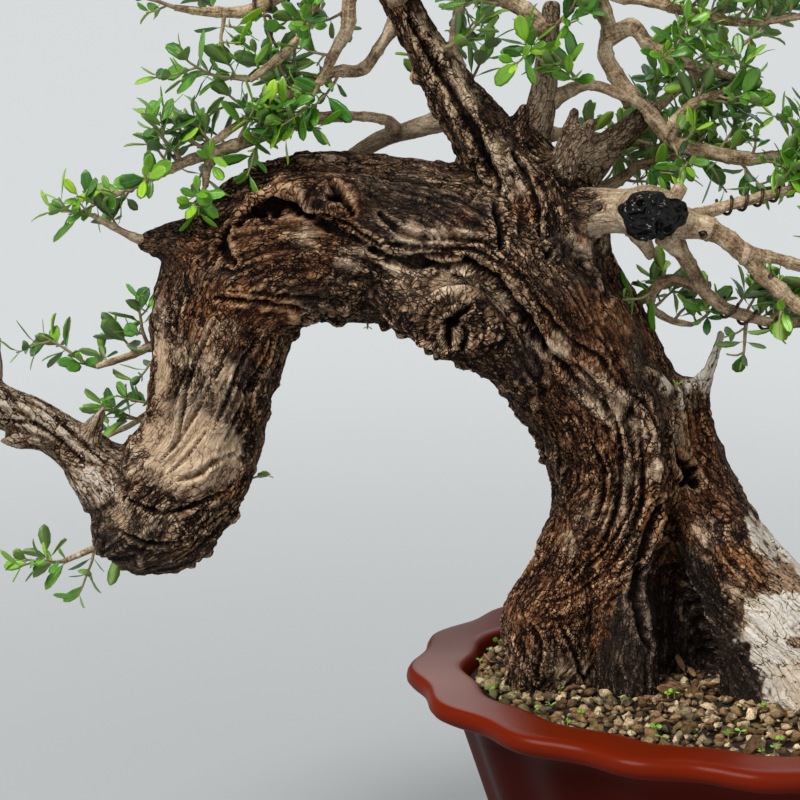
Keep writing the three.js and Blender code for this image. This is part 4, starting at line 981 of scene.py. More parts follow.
# %% Layers of bark
def bark_layers():
    barked = np.clip(1 - dead - young, 0, 1) * (1 - 0.85 * worn_smooth)
    calm = 1 - 0.85 * calm_side
    hanging = smoothstep(0.1, -0.7, normals_of(wood_points, wood_triangles)[:, 2])
    size = np.clip(first_limb[:, 4] / 42, 0.16, 1) ** 0.8
    thin = 1 - 0.4 * on_limbs(*THIN_BARKED)
    patchy = smoothstep(0.4, 0.6, clouds(wood_points / 26, 2, 61))
    flutes = np.abs(2 * fibres(170, 24, 11) - 1) - 0.4
    terraces = (9 * fibres(130, 26, 19, 2) % 1) ** 1.5 - 0.4
    roped = 0.25 + 0.75 * smoothstep(0.44, 0.6, clouds(wood_points / 44, 2, 63))
    ropes = veins(fibres(120, 11, 23, 2), 0.13) * roped
    rows = veins(fibres(60, 8, 37), 0.2)
    strands = ridges(fibres(75, 10, 27, 2)) - 0.6
    plate_edge, plate_chance = cells((first_limb[:, 1:4] + wander) / (8.5, 7, 7), 81)
    plates = smoothstep(0.02, 0.3, plate_edge)
    lumps = clouds(wood_points / 30, 2, 53) - 0.5
    knobs = clouds(wood_points / 9, 2, 57) - 0.5
    crags = np.maximum(clouds(wood_points / 10, 2, 71) - 0.56, 0)
    threads = ridges(fibres(70, 2.6, 91, 2)) - 0.6
    broken = 0.6 * (plates - 0.7) + 0.7 * (plate_chance - 0.5) - 1.2 * rows
    return (
        size * (5.2 * flutes * calm - 2.2 * ropes * calm + 6.5 * lumps * barked)
        + size**0.5 * barked * calm * (0.5 + patchy) * 1.2 * terraces
        + thin * barked * calm * (0.3 + 0.7 * patchy) * broken
        + thin * barked * (0.1 + 0.9 * calm) * (1.9 * strands + 1.0 * knobs)
        + thin * barked * (0.3 + hanging) * 13 * crags
        + dead * (2.2 * threads - 1.4 * rows)
        + young * (0.8 * knobs + 1.0 * threads)
    )


# %% Add the marks and carve
def add_marks(relief):
    # deep: how far a point lies inside a groove or a knot's eye; the bark is painted black there as painted
    # shade.
    deep = np.zeros(len(wood_points))
    for width, depth, path in furrow_paths:
        distance = apart(path, width)
        inside = smoothstep(1.25, 0.25, distance)
        lip = np.exp(-(((distance - 1.8) / 0.7) ** 2))
        relief = relief + 0.22 * depth * lip - depth * inside
        deep = np.maximum(deep, inside * min(1, depth / 11))
    for width, height, path in crest_paths:
        relief = relief + height * np.exp(-((apart(path, width) / 1.1) ** 2))
    for middle, radius, swelling, eye, depth in knots:
        offset = (wood_points - middle) * (0.85, 1, 1.15)
        distance = lengths(offset)
        inside = np.exp(-((distance / radius) ** 2))
        hole = smoothstep(1.3, 0.3, distance / eye + 0.6 * ragged)
        relief = relief + inside * swelling - (swelling + depth) * hole
        deep = np.maximum(deep, hole * (depth > 0))
    return relief, deep


RELIEF_LIMITS = (-15, 9)
relief, deep = add_marks(bark_layers())
relief = np.clip(relief, *RELIEF_LIMITS)
wood_normals = normals_of(wood_points, wood_triangles)
carved_points = wood_points + wood_normals * relief[:, None]
carved_points = spread(carved_points, wood_edges, 1, 0.2)
print("relief from", relief.min().round(1), "to", relief.max().round(1), "mm")

# %% [markdown]
# ## Stains and painted shade
#
# A bark's colour changes with weather, rot and wear. Rain and sun have greyed the top of the arch.
# Rot has blackened the hollows, and painted shade blackens them further, with the deep grooves,
# the eyes of knots, the bulb under the hook and some dark patches. Where bark has flaked away lately
# the wood below is orange-brown, and where it is rubbed it is tan. Each stain is a ragged patch at a
# place that a grower could point to.

# %% Where the stains lie: place in the camera's square and reach in mm
# Several dark patches lie in the base hollow, in deep grooves and under the arch's overhang, where they are
# painted shade; the rest are darker weathered bark.
STAINS = dict(notes("""
    warm: 236 318 28, 272 314 20, 205 330 16, 640 296 30, 654 336 26, 668 366 18, 700 425 20,
        696 455 18, 592 236 12, 630 262 20, 410 344 16, 596 560 26, 560 600 24, 524 214 10, 232 480 14,
        660 520 18, 268 350 14, 150 300 10, 742 574 20, 768 582 19, 792 580 18, 736 602 12, 797 642 9,
        612 600 12, 600 640 12, 668 243 12, 640 240 9;
    worn: 452 284 17, 414 286 14, 486 300 9, 305 240 9, 345 264 10, 590 386 13, 612 404 12, 640 430 9,
        628 478 9, 655 470 9, 500 140 8, 508 160 8, 514 186 8, 410 232 8, 440 236 8, 466 234 8,
        588 520 15, 572 545 11, 556 672 10, 330 158 8, 706 530 10, 586 250 8, 606 244 8, 128 458 14,
        86 470 12, 104 486 10, 396 270 9, 560 345 8, 500 300 8, 732 600 16, 214 372 15, 188 352 13,
        206 342 12, 226 332 10, 196 402 14, 664 384 14, 684 392 12, 697 381 8, 570 238 5, 579 252 6,
        588 266 6, 440 44 9, 424 20 8, 470 100 9, 456 72 8, 225 468 9, 120 512 9, 140 526 8, 170 520 9;
    dark: 415 196 42, 455 216 30, 360 186 24, 242 236 18, 300 216 14, 590 290 30, 606 330 28,
        628 350 22, 226 440 16, 214 404 18, 246 364 16, 570 250 14, 508 420 14, 300 304 22, 250 300 16,
        640 620 34, 684 610 34, 682 440 14, 690 476 11, 530 360 16, 656 556 16, 670 660 40, 620 660 18,
        176 408 10;
"""))
ROTTEN_STUB = (517, 104, 12)


# %% Store the stains
def wood_stains():
    # Worn crests are pale; the darkening of splits and hollows is painted shade.
    height = np.clip(0.48 + (relief - blur(relief, 2.5)) / 2.6 + (relief - blur(relief, 9)) / 22, 0, 1)
    stains = {kind: near_any(*patches) for kind, patches in STAINS.items()}
    flaked = 0.2 + 0.65 * smoothstep(0.44, 0.58, fibres(22, 4.5, 83, 2))
    clouded = smoothstep(0.52, 0.66, clouds(wood_points / 60, 3, 77) + 0.1 * on_limbs("dead_root", "heart"))
    # Painted shade: the lower side of the bulb under the hook is painted dark.
    bulb = smoothstep(300, 262, z_mm + 0.25 * (x_mm + 480) + 70 * (rough - 0.5)) * (x_mm < -380)
    # The base hollow: rot, darkened further as painted shade.
    pit = lengths((wood_points - (-108, -50, 176)) * (1.0, 0.7, 0.66))
    seen = smoothstep(-57, -69, x_mm + 0.42 * (z_mm - 178) + 22 * (rough - 0.5) + 10 * ragged)
    rot = smoothstep(68, 42, pit + 44 * (rough - 0.5) + 10 * ragged) * seen
    return {
        "height": height,
        # Rot, and painted shade in grooves, knot eyes, the base hollow and under the hook.
        "soot": np.maximum.reduce([0.8 * deep, 0.9 * rot, 0.5 * bulb, near(*ROTTEN_STUB)]),
        "dark": np.maximum(stains["dark"], bulb),
        "worn": np.maximum(worn_smooth, stains["worn"] * flaked),
        "warm": np.maximum(stains["warm"], 0.7 * clouded),
        "bleach": dead,
        "young": young,
    }


along_limb, limb_number = first_limb[:, 1:4] + wander, first_limb[:, 5:6]
grain = np.where(swirl[:, None] > 0.5, knot_place, along_limb) + 97.0 * limb_number
stains = wood_stains()
for name, values in stains.items():
    print(f"{name}: {values.mean():.2f} on average")

# %% [markdown]
# ## Bark and dead wood
#
# One material serves all the old wood, because on the tree one turns into the other. The stored
# relief picks a colour from black splits through brown to tan crests: wear pales the crests, and
# the black of the splits is painted shade. Stains then change it.
# Cracks and fibres too small for the net are noise stretched along the grain; they darken the
# colour and dent the surface through a bump. Every scale is broken up by the next smaller one, so
# that no pattern shows.

# %% The material of old wood: stops of position, red, green and blue
WOOD_STOPS = dict(notes("""
    bark: 0 0.0035 0.0022 0.0015, 0.26 0.017 0.0092 0.005, 0.46 0.056 0.029 0.0155,
        0.62 0.135 0.076 0.041, 0.8 0.29 0.18 0.105, 1 0.56 0.4 0.26;
    warm: 0 0.005 0.0022 0.001, 0.28 0.034 0.0115 0.0045, 0.48 0.115 0.041 0.014, 0.7 0.26 0.115 0.045,
        1 0.52 0.32 0.17;
    dark: 0 0.003 0.0022 0.0018, 0.4 0.019 0.0128 0.0092, 0.65 0.065 0.045 0.031, 1 0.32 0.235 0.165;
    worn: 0 0.035 0.02 0.011, 0.25 0.18 0.11 0.064, 0.5 0.45 0.315 0.2, 0.75 0.7 0.55 0.38,
        1 0.86 0.74 0.57;
    bleached: 0 0.02 0.0105 0.006, 0.2 0.15 0.085 0.045, 0.38 0.38 0.28 0.18, 0.58 0.66 0.565 0.45,
        1 0.84 0.79 0.7;
    soot: 0 0.0045 0.0028 0.0019, 0.5 0.0195 0.012 0.008, 0.75 0.062 0.042 0.028, 1 0.22 0.16 0.115;
    young: 0 0.13 0.078 0.042, 0.4 0.4 0.285 0.18, 1 0.74 0.62 0.46;
"""))


def old_wood_material():
    shader = Shader("old_wood", Specular_IOR_Level=0.12)
    grain = shader.stored("grain", "Vector")
    place = shader.place()
    bleach = shader.stored("bleach")
    flaked = shader.stored("warm").fade(0.62, 0.9)
    barked = (1 - bleach + flaked * 0.8).clamp()

    jitter = shader.add("ShaderNodeTexNoise", {}, {"Vector": place, "Scale": 150.0, "Detail": 2.0}, "Color")
    jitter = shader.stretch(jitter, (1.2, 1.2, 1.2))
    plate_place = shader.shift(shader.stretch(grain, (0.25, 0.44, 0.44)), jitter)
    split_place = shader.shift(shader.stretch(grain, (0.055, 0.2, 0.2)), jitter)
    plate_edge = shader.plates(plate_place, "DISTANCE_TO_EDGE", "Distance")
    plate_tone = shader.plates(plate_place, "F1", "Color")
    split_edge = shader.plates(split_place, "DISTANCE_TO_EDGE", "Distance")
    patchy = shader.noise(place, 55, detail=2).fade(0.4, 0.58)
    worn = shader.stored("worn")
    polish = worn * worn * worn
    whole = (1 - shader.stored("young") * 0.8) * (1 - shader.stored("dark") * 0.6)
    cracked = (whole * (1 - polish * 0.75)).clamp() * barked
    crack = (1 - plate_edge.fade(0.02, 0.12)) * (0.25 + patchy * 0.75) * cracked
    split = (1 - split_edge.fade(0.012, 0.06)) * cracked
    check = (1 - split_edge.fade(0.01, 0.05)) * (bleach + polish * 0.35).clamp() * (0.3 + patchy * 0.7)
    fibre = shader.noise(shader.stretch(grain, (0.1, 0.75, 0.75)), 1.0, detail=4, roughness=0.65)
    thread = shader.noise(shader.stretch(grain, (0.035, 0.55, 0.55)), 1.0, detail=5, roughness=0.7)
    specks = shader.noise(place, 620, detail=3, roughness=0.75)
    grains = shader.noise(place, 250, detail=2, roughness=0.6)
    patches = shader.noise(place, 30, detail=3)

    # The stored height: pale worn crests, and splits painted dark as painted shade.
    tone = shader.stored("height") * 0.75 + 0.17 + (fibre - 0.5) * 0.8 + (specks - 0.5) * 0.68
    tone = tone + (grains - 0.5) * 0.36 + (patches - 0.5) * 0.5 + (plate_tone - 0.5) * cracked * 0.35
    tone = (tone + 0.03 - crack * 0.5 - split * 0.6).clamp()
    bare = (tone + 0.03 + (thread - 0.5) * 1.3 + (bleach - 0.8) * 1.7 - check * 0.75).clamp()
    rubbed = tone * (0.85 - polish * 0.45) + 0.1 + polish * 0.2
    rubbed = (rubbed + (thread - 0.5) * 0.8 - check * 0.35).clamp()

    rot_and_shade_tone = (tone + (thread - 0.5) * 0.9 + (specks - 0.5) * 0.5).clamp()
    peeling = (tone * 1.2 - 0.06 + (thread - 0.5) * 1.3 + (patches - 0.5) * 0.7).clamp()

    colour = shader.ramp(tone, WOOD_STOPS["bark"])
    # Dark patches: weathered bark, and painted shade in hollows and under the hook.
    colour = shader.mix(shader.stored("dark") * 0.8, colour, shader.ramp(tone, WOOD_STOPS["dark"]))
    colour = shader.mix(shader.stored("warm") * 0.9, colour, shader.ramp(tone, WOOD_STOPS["warm"]))
    colour = shader.mix(worn * 0.95, colour, shader.ramp(rubbed, WOOD_STOPS["worn"]))
    colour = shader.mix(shader.stored("young"), colour, shader.ramp(peeling, WOOD_STOPS["young"]))
    bleached = shader.ramp(bare, WOOD_STOPS["bleached"])
    bleached = shader.mix(patches.fade(0.54, 0.66) * 0.7, bleached, shader.ramp(bare, WOOD_STOPS["worn"]))
    flakes = shader.ramp((bare * 0.8 + 0.14 - crack * 0.5).clamp(), WOOD_STOPS["warm"])
    bleached = shader.mix(flaked * 0.85, bleached, flakes)
    colour = shader.mix((bleach * 1.1).clamp(), colour, bleached)
    # Rot and painted shade: hollows, grooves, knot eyes and the hook's underside turn black.
    soot = shader.stored("soot").fade(0.2, 0.78)
    soot = (soot + (thread - 0.5) * soot * (1 - soot) * 7).clamp()
    colour = shader.mix(soot, colour, shader.ramp(rot_and_shade_tone, WOOD_STOPS["soot"]))

    relief = fibre * 0.5 + grains * 0.4 + specks * 0.22 + thread * bleach * 1.2
    relief = relief - crack * 0.8 - split * 1.2 - check
    return shader.finish(colour, 0.88 - specks * 0.14, (relief * (1 - polish * 0.5), 0.0022, 0.95))


# %% [markdown]
# The net is too fine for one piece, so it is sawn into five by faces, and each cut is closed with
# a flat lid inside the wood. Every piece keeps the normals of the whole, so no joint shows.

# %% Saw the net into pieces
def region_of(points):
    x, _, z = points.T
    base = (z < 236) & (x > -250)
    hook = (x < -352) & (z < 530)
    crown = (z >= 512) & (x > -352) & ((z > 532) | (x > -232))
    arch = (x < -226) & ~base & ~hook & ~crown
    return np.select([base, hook, crown, arch], [0, 1, 2, 3], 4)


WOOD_PIECES = ("old_wood_base", "old_wood_hook", "old_wood_crown", "old_wood_arch", "old_wood_shoulder")


def saw(name, faces, normals, material):
    used = np.unique(faces)
    renumber = np.zeros(len(wood_points), int)
    renumber[used] = np.arange(len(used))
    mesh = new_mesh(name, carved_points[used], renumber[faces].tolist())
    net = bmesh.new()
    net.from_mesh(mesh)
    rims = [edge for edge in net.edges if edge.is_boundary]
    bmesh.ops.holes_fill(net, edges=rims, sides=0)
    bmesh.ops.triangulate(net, faces=[face for face in net.faces if len(face.verts) > 4])
    net.to_mesh(mesh)
    net.free()
    for kind, values in stains.items():
        store(mesh, kind, values[used])
    store(mesh, "grain", grain[used])
    mesh.shade_smooth()
    mesh.normals_split_custom_set_from_vertices(normals[used].tolist())
    seat(new_object(name, mesh, [material]), "bark", "trunk")


def saw_old_wood():
    faces = read(wood_mesh.loops, "vertex_index", 1, int).reshape(-1, 4)
    normals = normals_of(carved_points, wood_triangles)
    regions = region_of(wood_points[faces].mean(1))
    material = old_wood_material()
    for number, name in enumerate(WOOD_PIECES):
        saw(name, faces[regions == number], normals, material)


saw_old_wood()

# %% [markdown]
# ## Young limbs and twigs
#
# The younger limbs are thin and smooth, so tubes serve them better than a net of voxels would.
# Each swells into a collar where it leaves its parent, has low rings where leaves once stood, and
# wanders a little. They sink into the old wood, as real ones do.

# %% Young limbs
def limb_skin(name, number):
    line = Line(LIMBS[name], 2.3)
    sides = 16 if line.radii.max() > 5 else 12
    along, angle = np.meshgrid(line.along, full_circle(sides), indexing="ij")
    radius = line.radii[:, None]
    place = np.stack([along / 9, np.cos(angle) * 1.3, np.sin(angle) * 1.3], axis=-1).reshape(-1, 3)
    lumps = clouds(place + 13.1 * number, 3, 61).reshape(along.shape)
    swells = clouds(place * (0.55, 0.6, 0.6) + 7.7 * number, 1, 62).reshape(along.shape)
    leaf_scars = np.exp(-((((along + 5 * number) % 15) - 7.5) ** 2) / 2.6)
    collar = (0 if name == "crown_front" else 0.5) * np.exp(-along / (1.5 * line.radii[0]))
    cords = 0.05 * np.sin(3 * angle + along / 14 + number)
    reach = radius * (0.86 + 0.34 * (lumps - 0.5) + 0.3 * (swells - 0.5) + 0.13 * leaf_scars + collar + cords)
    points, faces = tube(line, sides, reach)
    around = np.stack([along, radius * np.cos(angle), radius * np.sin(angle)], axis=-1).reshape(-1, 3)
    tones = np.clip(0.5 + 1.2 * (lumps - 0.5) + 0.5 * (swells - 0.5) + 0.25 * leaf_scars, 0, 1)
    grain = np.vstack([around, np.zeros((2, 3))]) + 50.0 * number
    return points, faces, np.append(tones.ravel(), [0.5, 0.5]), grain


TAN_STOPS = [(0, 0.05, 0.028, 0.015), (0.3, 0.22, 0.14, 0.08), (0.6, 0.5, 0.37, 0.23), (1, 0.82, 0.68, 0.5)]
BROWN_STOPS = [(0.0, 0.025, 0.013, 0.007), (0.4, 0.12, 0.064, 0.032), (1.0, 0.42, 0.26, 0.15)]


def young_bark_material():
    shader = Shader("young_bark", Specular_IOR_Level=0.15)
    grain = shader.stored("grain", "Vector")
    place = shader.place()
    streaks = shader.noise(shader.stretch(grain, (0.11, 0.6, 0.6)), 1.0, detail=5, roughness=0.65)
    rings = shader.noise(shader.stretch(grain, (0.5, 0.16, 0.16)), 1.0, detail=3)
    patches = shader.noise(place, 42, detail=3)
    specks = shader.noise(place, 700, detail=3, roughness=0.7)
    tone = shader.stored("tone") * 0.55 + (streaks - 0.5) * 1.2 + (specks - 0.5) * 1.2
    tone = (tone + (rings - 0.5) * 0.6 + 0.22).clamp()
    brown = patches.fade(0.5, 0.64) * 0.65
    colour = shader.mix(brown, shader.ramp(tone, TAN_STOPS), shader.ramp(tone, BROWN_STOPS))
    dents = (streaks * 0.7 + specks * 0.5 + rings * 0.4, 0.0016, 0.85)
    return shader.finish(colour, 0.84 - streaks * 0.12, dents)


def make_young_limbs():
    skins = [limb_skin(name, number) for number, name in enumerate(TWIGGY)]
    points, faces = gather([limb[:2] for limb in skins])
    tone, grain = (np.concatenate([limb[n] for limb in skins]) for n in (2, 3))
    mesh = new_mesh("young_limbs", points, faces, tone=tone, grain=grain)
    return new_object("young_limbs", mesh, [young_bark_material()])


seat(make_young_limbs(), "bark")

# %% [markdown]
# ## Leaves
#
# A small-leaved olive carries leathery leaves in opposite pairs, each pair turned a quarter round
# from the last. A leaf here is a thin closed blade: rings of six points, with a sunk midrib, a
# slight fold and a droop. One template is bent and placed for every leaf at once. Each leaf
# keeps its own tone, so that young shoots stay yellow-green and old leaves dark.

# %% The leaf template
# share of the length, share of the width
LEAF_STATIONS = [(0.0, 0.07), (0.12, 0.11), (0.36, 0.78), (0.64, 1.0), (0.88, 0.74), (1.0, 0.14)]
# across from the midrib, and the lift of that point in blade thicknesses
LEAF_RING = [(-1, 0), (-0.5, 0.6), (0, 0.1), (0.5, 0.6), (1, 0), (0, -0.8)]


def leaf_template():
    """Each point's share along, across and through the blade and off its midrib, and the faces."""
    rows = [(u, width * a, t, a) for u, width in LEAF_STATIONS for a, t in LEAF_RING]
    ring = len(LEAF_RING)
    faces = [tuple(reversed(range(ring)))]
    for start in range(0, len(rows) - ring, ring):
        for k in range(ring):
            j = (k + 1) % ring
            faces.append((start + k, start + j, start + ring + j, start + ring + k))
    faces.append(tuple(range(len(rows) - ring, len(rows))))
    return np.array(rows), faces


TEMPLATE, TEMPLATE_FACES = leaf_template()


def leaf_points(leaves):
    """All the leaves' points: each leaf is root, along, face, length, width, droop, fold and curl."""
    u, across, through, _ = TEMPLATE.T
    keys = ("root", "along", "face", "length", "width", "droop", "fold", "curl")
    columns = (np.array([leaf[key] for leaf in leaves])[:, None] for key in keys)
    root, along, face, length, width, droop, fold, curl = columns
    side = np.cross(along, face)
    thickness = 0.34 * (0.6 + 0.4 * np.sin(np.pi * u))
    sideways = across * width / 2
    lift = fold * np.abs(sideways) - droop * length * u**2 + curl * length * 0.06 * np.sin(2 * np.pi * u)
    lift = lift + through * thickness
    return root + along * (u * length)[..., None] + side * sideways[..., None] + face * lift[..., None]


print("a leaf has", sum(len(face) - 2 for face in TEMPLATE_FACES), "triangles")

# %% [markdown]
# ## Leafy shoots
#
# A shoot leaves its limb, wanders a little and lifts to the light. It carries leaves in pairs and
# a few side shoots, which do the same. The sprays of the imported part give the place, direction
# and size of the main ones. Between them come more shoots along every young limb, because a real
# crown has leaves all along its outer twigs.

# %% Where the sprays leave the limbs: limb, then place along it, direction and length
SPRAY_NOTES = notes("""
    long_left: 1 -0.8 -0.2 -0.45 42, 0.84 -0.4 -0.3 0.9 40, 0.62 0.2 -0.7 0.7 34;
    left_drop: 1 -0.2 -0.6 -0.6 30;
    snag_twig: 1 -0.7 -0.3 0.1 30;
    upper_left: 0.62 -0.2 -0.6 -0.7 34, 1 -0.8 -0.1 0.5 36;
    left_sweep: 1 -0.9 0 0.1 56, 0.5 0.2 -0.8 0.5 36;
    left_hanger: 1 -0.4 -0.5 -0.7 44;
    top_left: 1 -0.8 0 0.2 30, 0.72 -0.1 -0.4 -0.9 28, 0.4 -0.3 -0.2 0.9 46;
    apex: 0.62 0.7 -0.5 0.3 40;
    broken_top: 0.72 -0.5 -0.7 0.1 44, 0.86 0.5 -0.6 0.5 42;
    back_shelf: 0.1 -0.1 -0.8 0.5 40, 1 0.9 0 0.3 56, 0.82 0.2 -0.4 0.9 40;
    back_fork: 1 0.6 -0.3 0.5 34;
    riser: 1 0.1 -0.2 0.9 54;
    cut_shelf: 0.7 0.3 -0.3 -0.9 26;
    high_shelf: 0.5 0.2 -0.6 0.8 42, 1 0.8 -0.1 0.1 48;
    low_shelf: 1 0.7 -0.1 0.1 36;
    right_wired: 0.66 0.1 -0.5 0.9 42, 1 0.9 0 0.3 56;
    right_mid: 1 0.9 0.1 0.3 58;
    right_low: 1 0.9 0 0.3 58, 0.72 0.2 -0.6 -0.6 38;
    right_under: 1 0.9 0.2 0.1 56, 0.62 0.1 0.3 -0.8 34;
    wired_low: 1 0.5 -0.6 0.3 34;
    hook_high: 1 -0.8 0 0.4 44, 0.6 -0.3 0 0.9 34;
    hook_low: 1 -0.8 0 -0.3 36;
    crown_left: 1 -0.8 0.1 0.4 58;
    crown_right: 1 0.8 -0.2 0.4 60;
    apex: 1 0.1 0 0.9 44;
    crown_back: 1 0.3 0.4 0.8 60;
    crown_back_right: 1 0.8 0.2 0.4 60;
    crown_front: 1 0.3 -0.6 0.6 54;
""")
SPRAYS = [(limb, u, way, length) for limb, shoots in SPRAY_NOTES for u, *way, length in shoots]
MAIN_PAIR_SPACING, SIDE_PAIR_SPACING = 9.0, 7.0
SIDE_SHOOT_SPACING = 14.0


# %% Grow one spray
def unit(vector):
    vector = np.asarray(vector, float)
    return vector / max(np.linalg.norm(vector), 1e-9)


def outward_at(line, index, turn):
    return np.cos(turn) * line.sides[index] + np.sin(turn) * line.across[index]


def hides_spike(point):
    """A grower keeps the space in front of the bleached spike clear."""
    return -103 < point[0] < -74 and 345 < point[2] < 404


class Growth:
    """What one piece of foliage gathers while it grows: its stems and its leaves."""

    def __init__(self, seed, leaf_length=19.0):
        self.rng = np.random.default_rng(seed)
        self.leaf_length = leaf_length
        self.stems = []
        self.leaves = []

    def shoot(self, start, heading, length, radius, is_side, vigour):
        rng, steps = self.rng, 6
        points = [np.array(start, float)]
        heading = unit(heading)
        for _ in range(steps):
            heading = unit(heading + rng.normal(0, 0.12, 3) + (0, 0, 0.07))
            points.append(points[-1] + heading * length / steps)
        line = Line(np.column_stack([points, np.linspace(radius, 0.55, steps + 1)]), 2.5)
        self.stems.append(line)
        spacing = SIDE_PAIR_SPACING if is_side else MAIN_PAIR_SPACING
        bare = 3 if is_side else 8
        for pair, at in enumerate(np.arange(length - 0.8, bare, -spacing)):
            self.leaf_pair(line, at / length, pair, vigour)
        if not is_side:
            for at in np.arange(0.22 * length, 0.86 * length, SIDE_SHOOT_SPACING):
                index = int((at / length + rng.normal(0, 0.04)) * (len(line.points) - 1))
                way = line.tangents[index] * 0.75 + outward_at(line, index, rng.uniform(0, 2 * np.pi))
                self.shoot(line.points[index], way, length * rng.uniform(0.32, 0.6), 0.8, True, vigour)

    def leaf_pair(self, line, share, pair, vigour):
        rng = self.rng
        index = int(share * (len(line.points) - 1))
        tangent = line.tangents[index]
        outward = outward_at(line, index, (pair % 2) * np.pi / 2 + rng.normal(0, 0.25))
        lean = (0.62 if pair == 0 else 0.98) + rng.normal(0, 0.16)
        for sign in (1, -1):
            if rng.random() < 0.05 or hides_spike(line.points[index]):
                continue
            along = unit(tangent * np.cos(lean) + sign * outward * np.sin(lean) + (0, 0, 0.1))
            face = unit(tangent - along * (along @ tangent))
            face = face + (0, 0, 0.45) + rng.normal(0, 0.16, 3)
            length = self.leaf_length * rng.uniform(0.6, 1.35) * (0.85 if pair == 0 else 1.0)
            self.leaves.append({
                "root": line.points[index] + sign * outward * line.radii[index] * 0.6,
                "along": along,
                "face": unit(face - along * (along @ face)),
                "length": length,
                "width": length * rng.uniform(0.36, 0.52),
                "droop": rng.uniform(-0.03, 0.17),
                "fold": rng.uniform(0.03, 0.3),
                "curl": rng.uniform(-0.7, 0.7),
                "tone": rng.random(),
                "fresh": np.clip((0.8 if pair == 0 else 0.2) * vigour + rng.normal(0, 0.13), 0, 1),
            })


def seat_on_limb(name, u, direction):
    """Just under the limb's skin, on the side that faces `direction`."""
    line = Line(LIMBS[name], 2)
    index = min(int(round(np.interp(u, line.u, np.arange(len(line.u))))), len(line.points) - 1)
    if u == 1:
        return line.points[-1]
    tangent, direction = line.tangents[index], np.array(direction)
    outward = unit(direction - tangent * (direction @ tangent))
    return line.points[index] + outward * line.radii[index] * 0.7


# %% [markdown]
# An olive leaf is waxy above and felted below, so its top is dark, smooth and shiny and its back
# is pale, grey-green and dull. The blade's own thickness keeps the two apart: each point knows
# whether it is under the leaf.

# %% Leaf and shoot materials
def leaf_material():
    shader = Shader("olive_leaf", Specular_IOR_Level=0.6)
    tone, fresh, under = (shader.stored(name) for name in ("tone", "fresh", "under"))
    blotch = shader.noise(shader.place(), 160, detail=2)
    rib = 1 - maths("ABSOLUTE", shader.stored("across")).fade(0.02, 0.12)
    old_stops = [(0.0, 0.014, 0.062, 0.02), (0.45, 0.048, 0.195, 0.022), (1.0, 0.16, 0.43, 0.035)]
    old_green = shader.ramp((tone * 0.85 + (blotch - 0.5) * 0.5 + 0.08).clamp(), old_stops)
    new_green = shader.mix(tone, (0.16, 0.48, 0.012), (0.46, 0.72, 0.035))
    top = shader.mix(fresh, old_green, new_green)
    top = shader.mix(rib * 0.3, top, (0.16, 0.38, 0.07))
    old_back = shader.mix(tone, (0.09, 0.15, 0.065), (0.22, 0.29, 0.11))
    below = shader.mix(fresh * 0.8, old_back, (0.32, 0.46, 0.04))
    below = shader.mix(rib * 0.4, below, (0.36, 0.42, 0.18))
    veins = shader.noise(shader.stretch(shader.stored("blade", "Vector"), (1.6, 0.5, 1)), 1.6, detail=3)
    dents = (rib * -0.6 + veins * 0.35, 0.0006, 0.6)
    return shader.finish(shader.mix(under, top, below), 0.2 + under * 0.4 + blotch * 0.2, dents)


def shoot_material():
    shader = Shader("green_shoot", Specular_IOR_Level=0.35)
    streaks = shader.noise(shader.place(), 240, detail=3)
    brown = shader.ramp(streaks, [(0.3, 0.2, 0.13, 0.075), (0.7, 0.42, 0.33, 0.2)])
    colour = shader.mix(shader.stored("fresh"), brown, (0.26, 0.34, 0.08))
    return shader.finish(colour, 0.6 + streaks * 0.15, (streaks, 0.0004, 0.5))


LEAF_AND_SHOOT = [leaf_material(), shoot_material()]


# %% Turn a growth into a piece
STEM_SIDES = 6


def make_foliage(name, growth, *nodes, materials=LEAF_AND_SHOOT):
    blades = leaf_points(growth.leaves)
    count, ring = blades.shape[:2]
    faces = [[i + n * ring for i in face] for n in range(count) for face in TEMPLATE_FACES]
    stem_points, stem_faces = gather([tube(line, STEM_SIDES) for line in growth.stems])
    slots = len(faces) * [0] + len(stem_faces) * [1]
    faces += [[i + count * ring for i in face] for face in stem_faces]
    tones, fresh = (np.repeat([leaf[key] for leaf in growth.leaves], ring) for key in ("tone", "fresh"))
    across = np.tile(TEMPLATE[:, 3], count)
    blade = np.column_stack([np.tile(TEMPLATE[:, 0], count), across, tones]) * (6, 3, 20)
    rise = [line.along / line.length * (0.7 if line.radii[0] < 1 else 0.4) for line in growth.stems]
    stem_fresh = np.concatenate([np.append(np.repeat(share, STEM_SIDES), [0, 0.5]) for share in rise])
    none = np.zeros(len(stem_points))
    mesh = new_mesh(
        name,
        np.vstack([blades.reshape(-1, 3), stem_points]),
        faces,
        tone=np.append(tones, none + 0.5),
        fresh=np.append(fresh, stem_fresh),
        across=np.append(across, none),
        under=np.append(np.tile(TEMPLATE[:, 2] < 0, count), none),
        blade=np.vstack([blade, np.zeros((len(none), 3))]),
    )
    mesh.polygons.foreach_set("material_index", slots)
    seat(new_object(name, mesh, materials), "foliage", *nodes)
    return count


def grow_sprays():
    total = 0
    for number, (limb, u, direction, length) in enumerate(SPRAYS, 1):
        growth = Growth(400 + number)
        start = seat_on_limb(limb, u, direction)
        growth.shoot(start, direction, length, 1.5, False, growth.rng.uniform(0.5, 1.3))
        total += make_foliage(f"leaves_{number:02d}_{limb}", growth, f"spray_{number:02d}_{limb}")
    return total


leaf_count = grow_sprays()
print(leaf_count, "leaves on the main sprays")

# %% More shoots along the young limbs
SPIKE_MIDDLE, SPIKE_CLEARANCE = (-90, 0, 380), 34


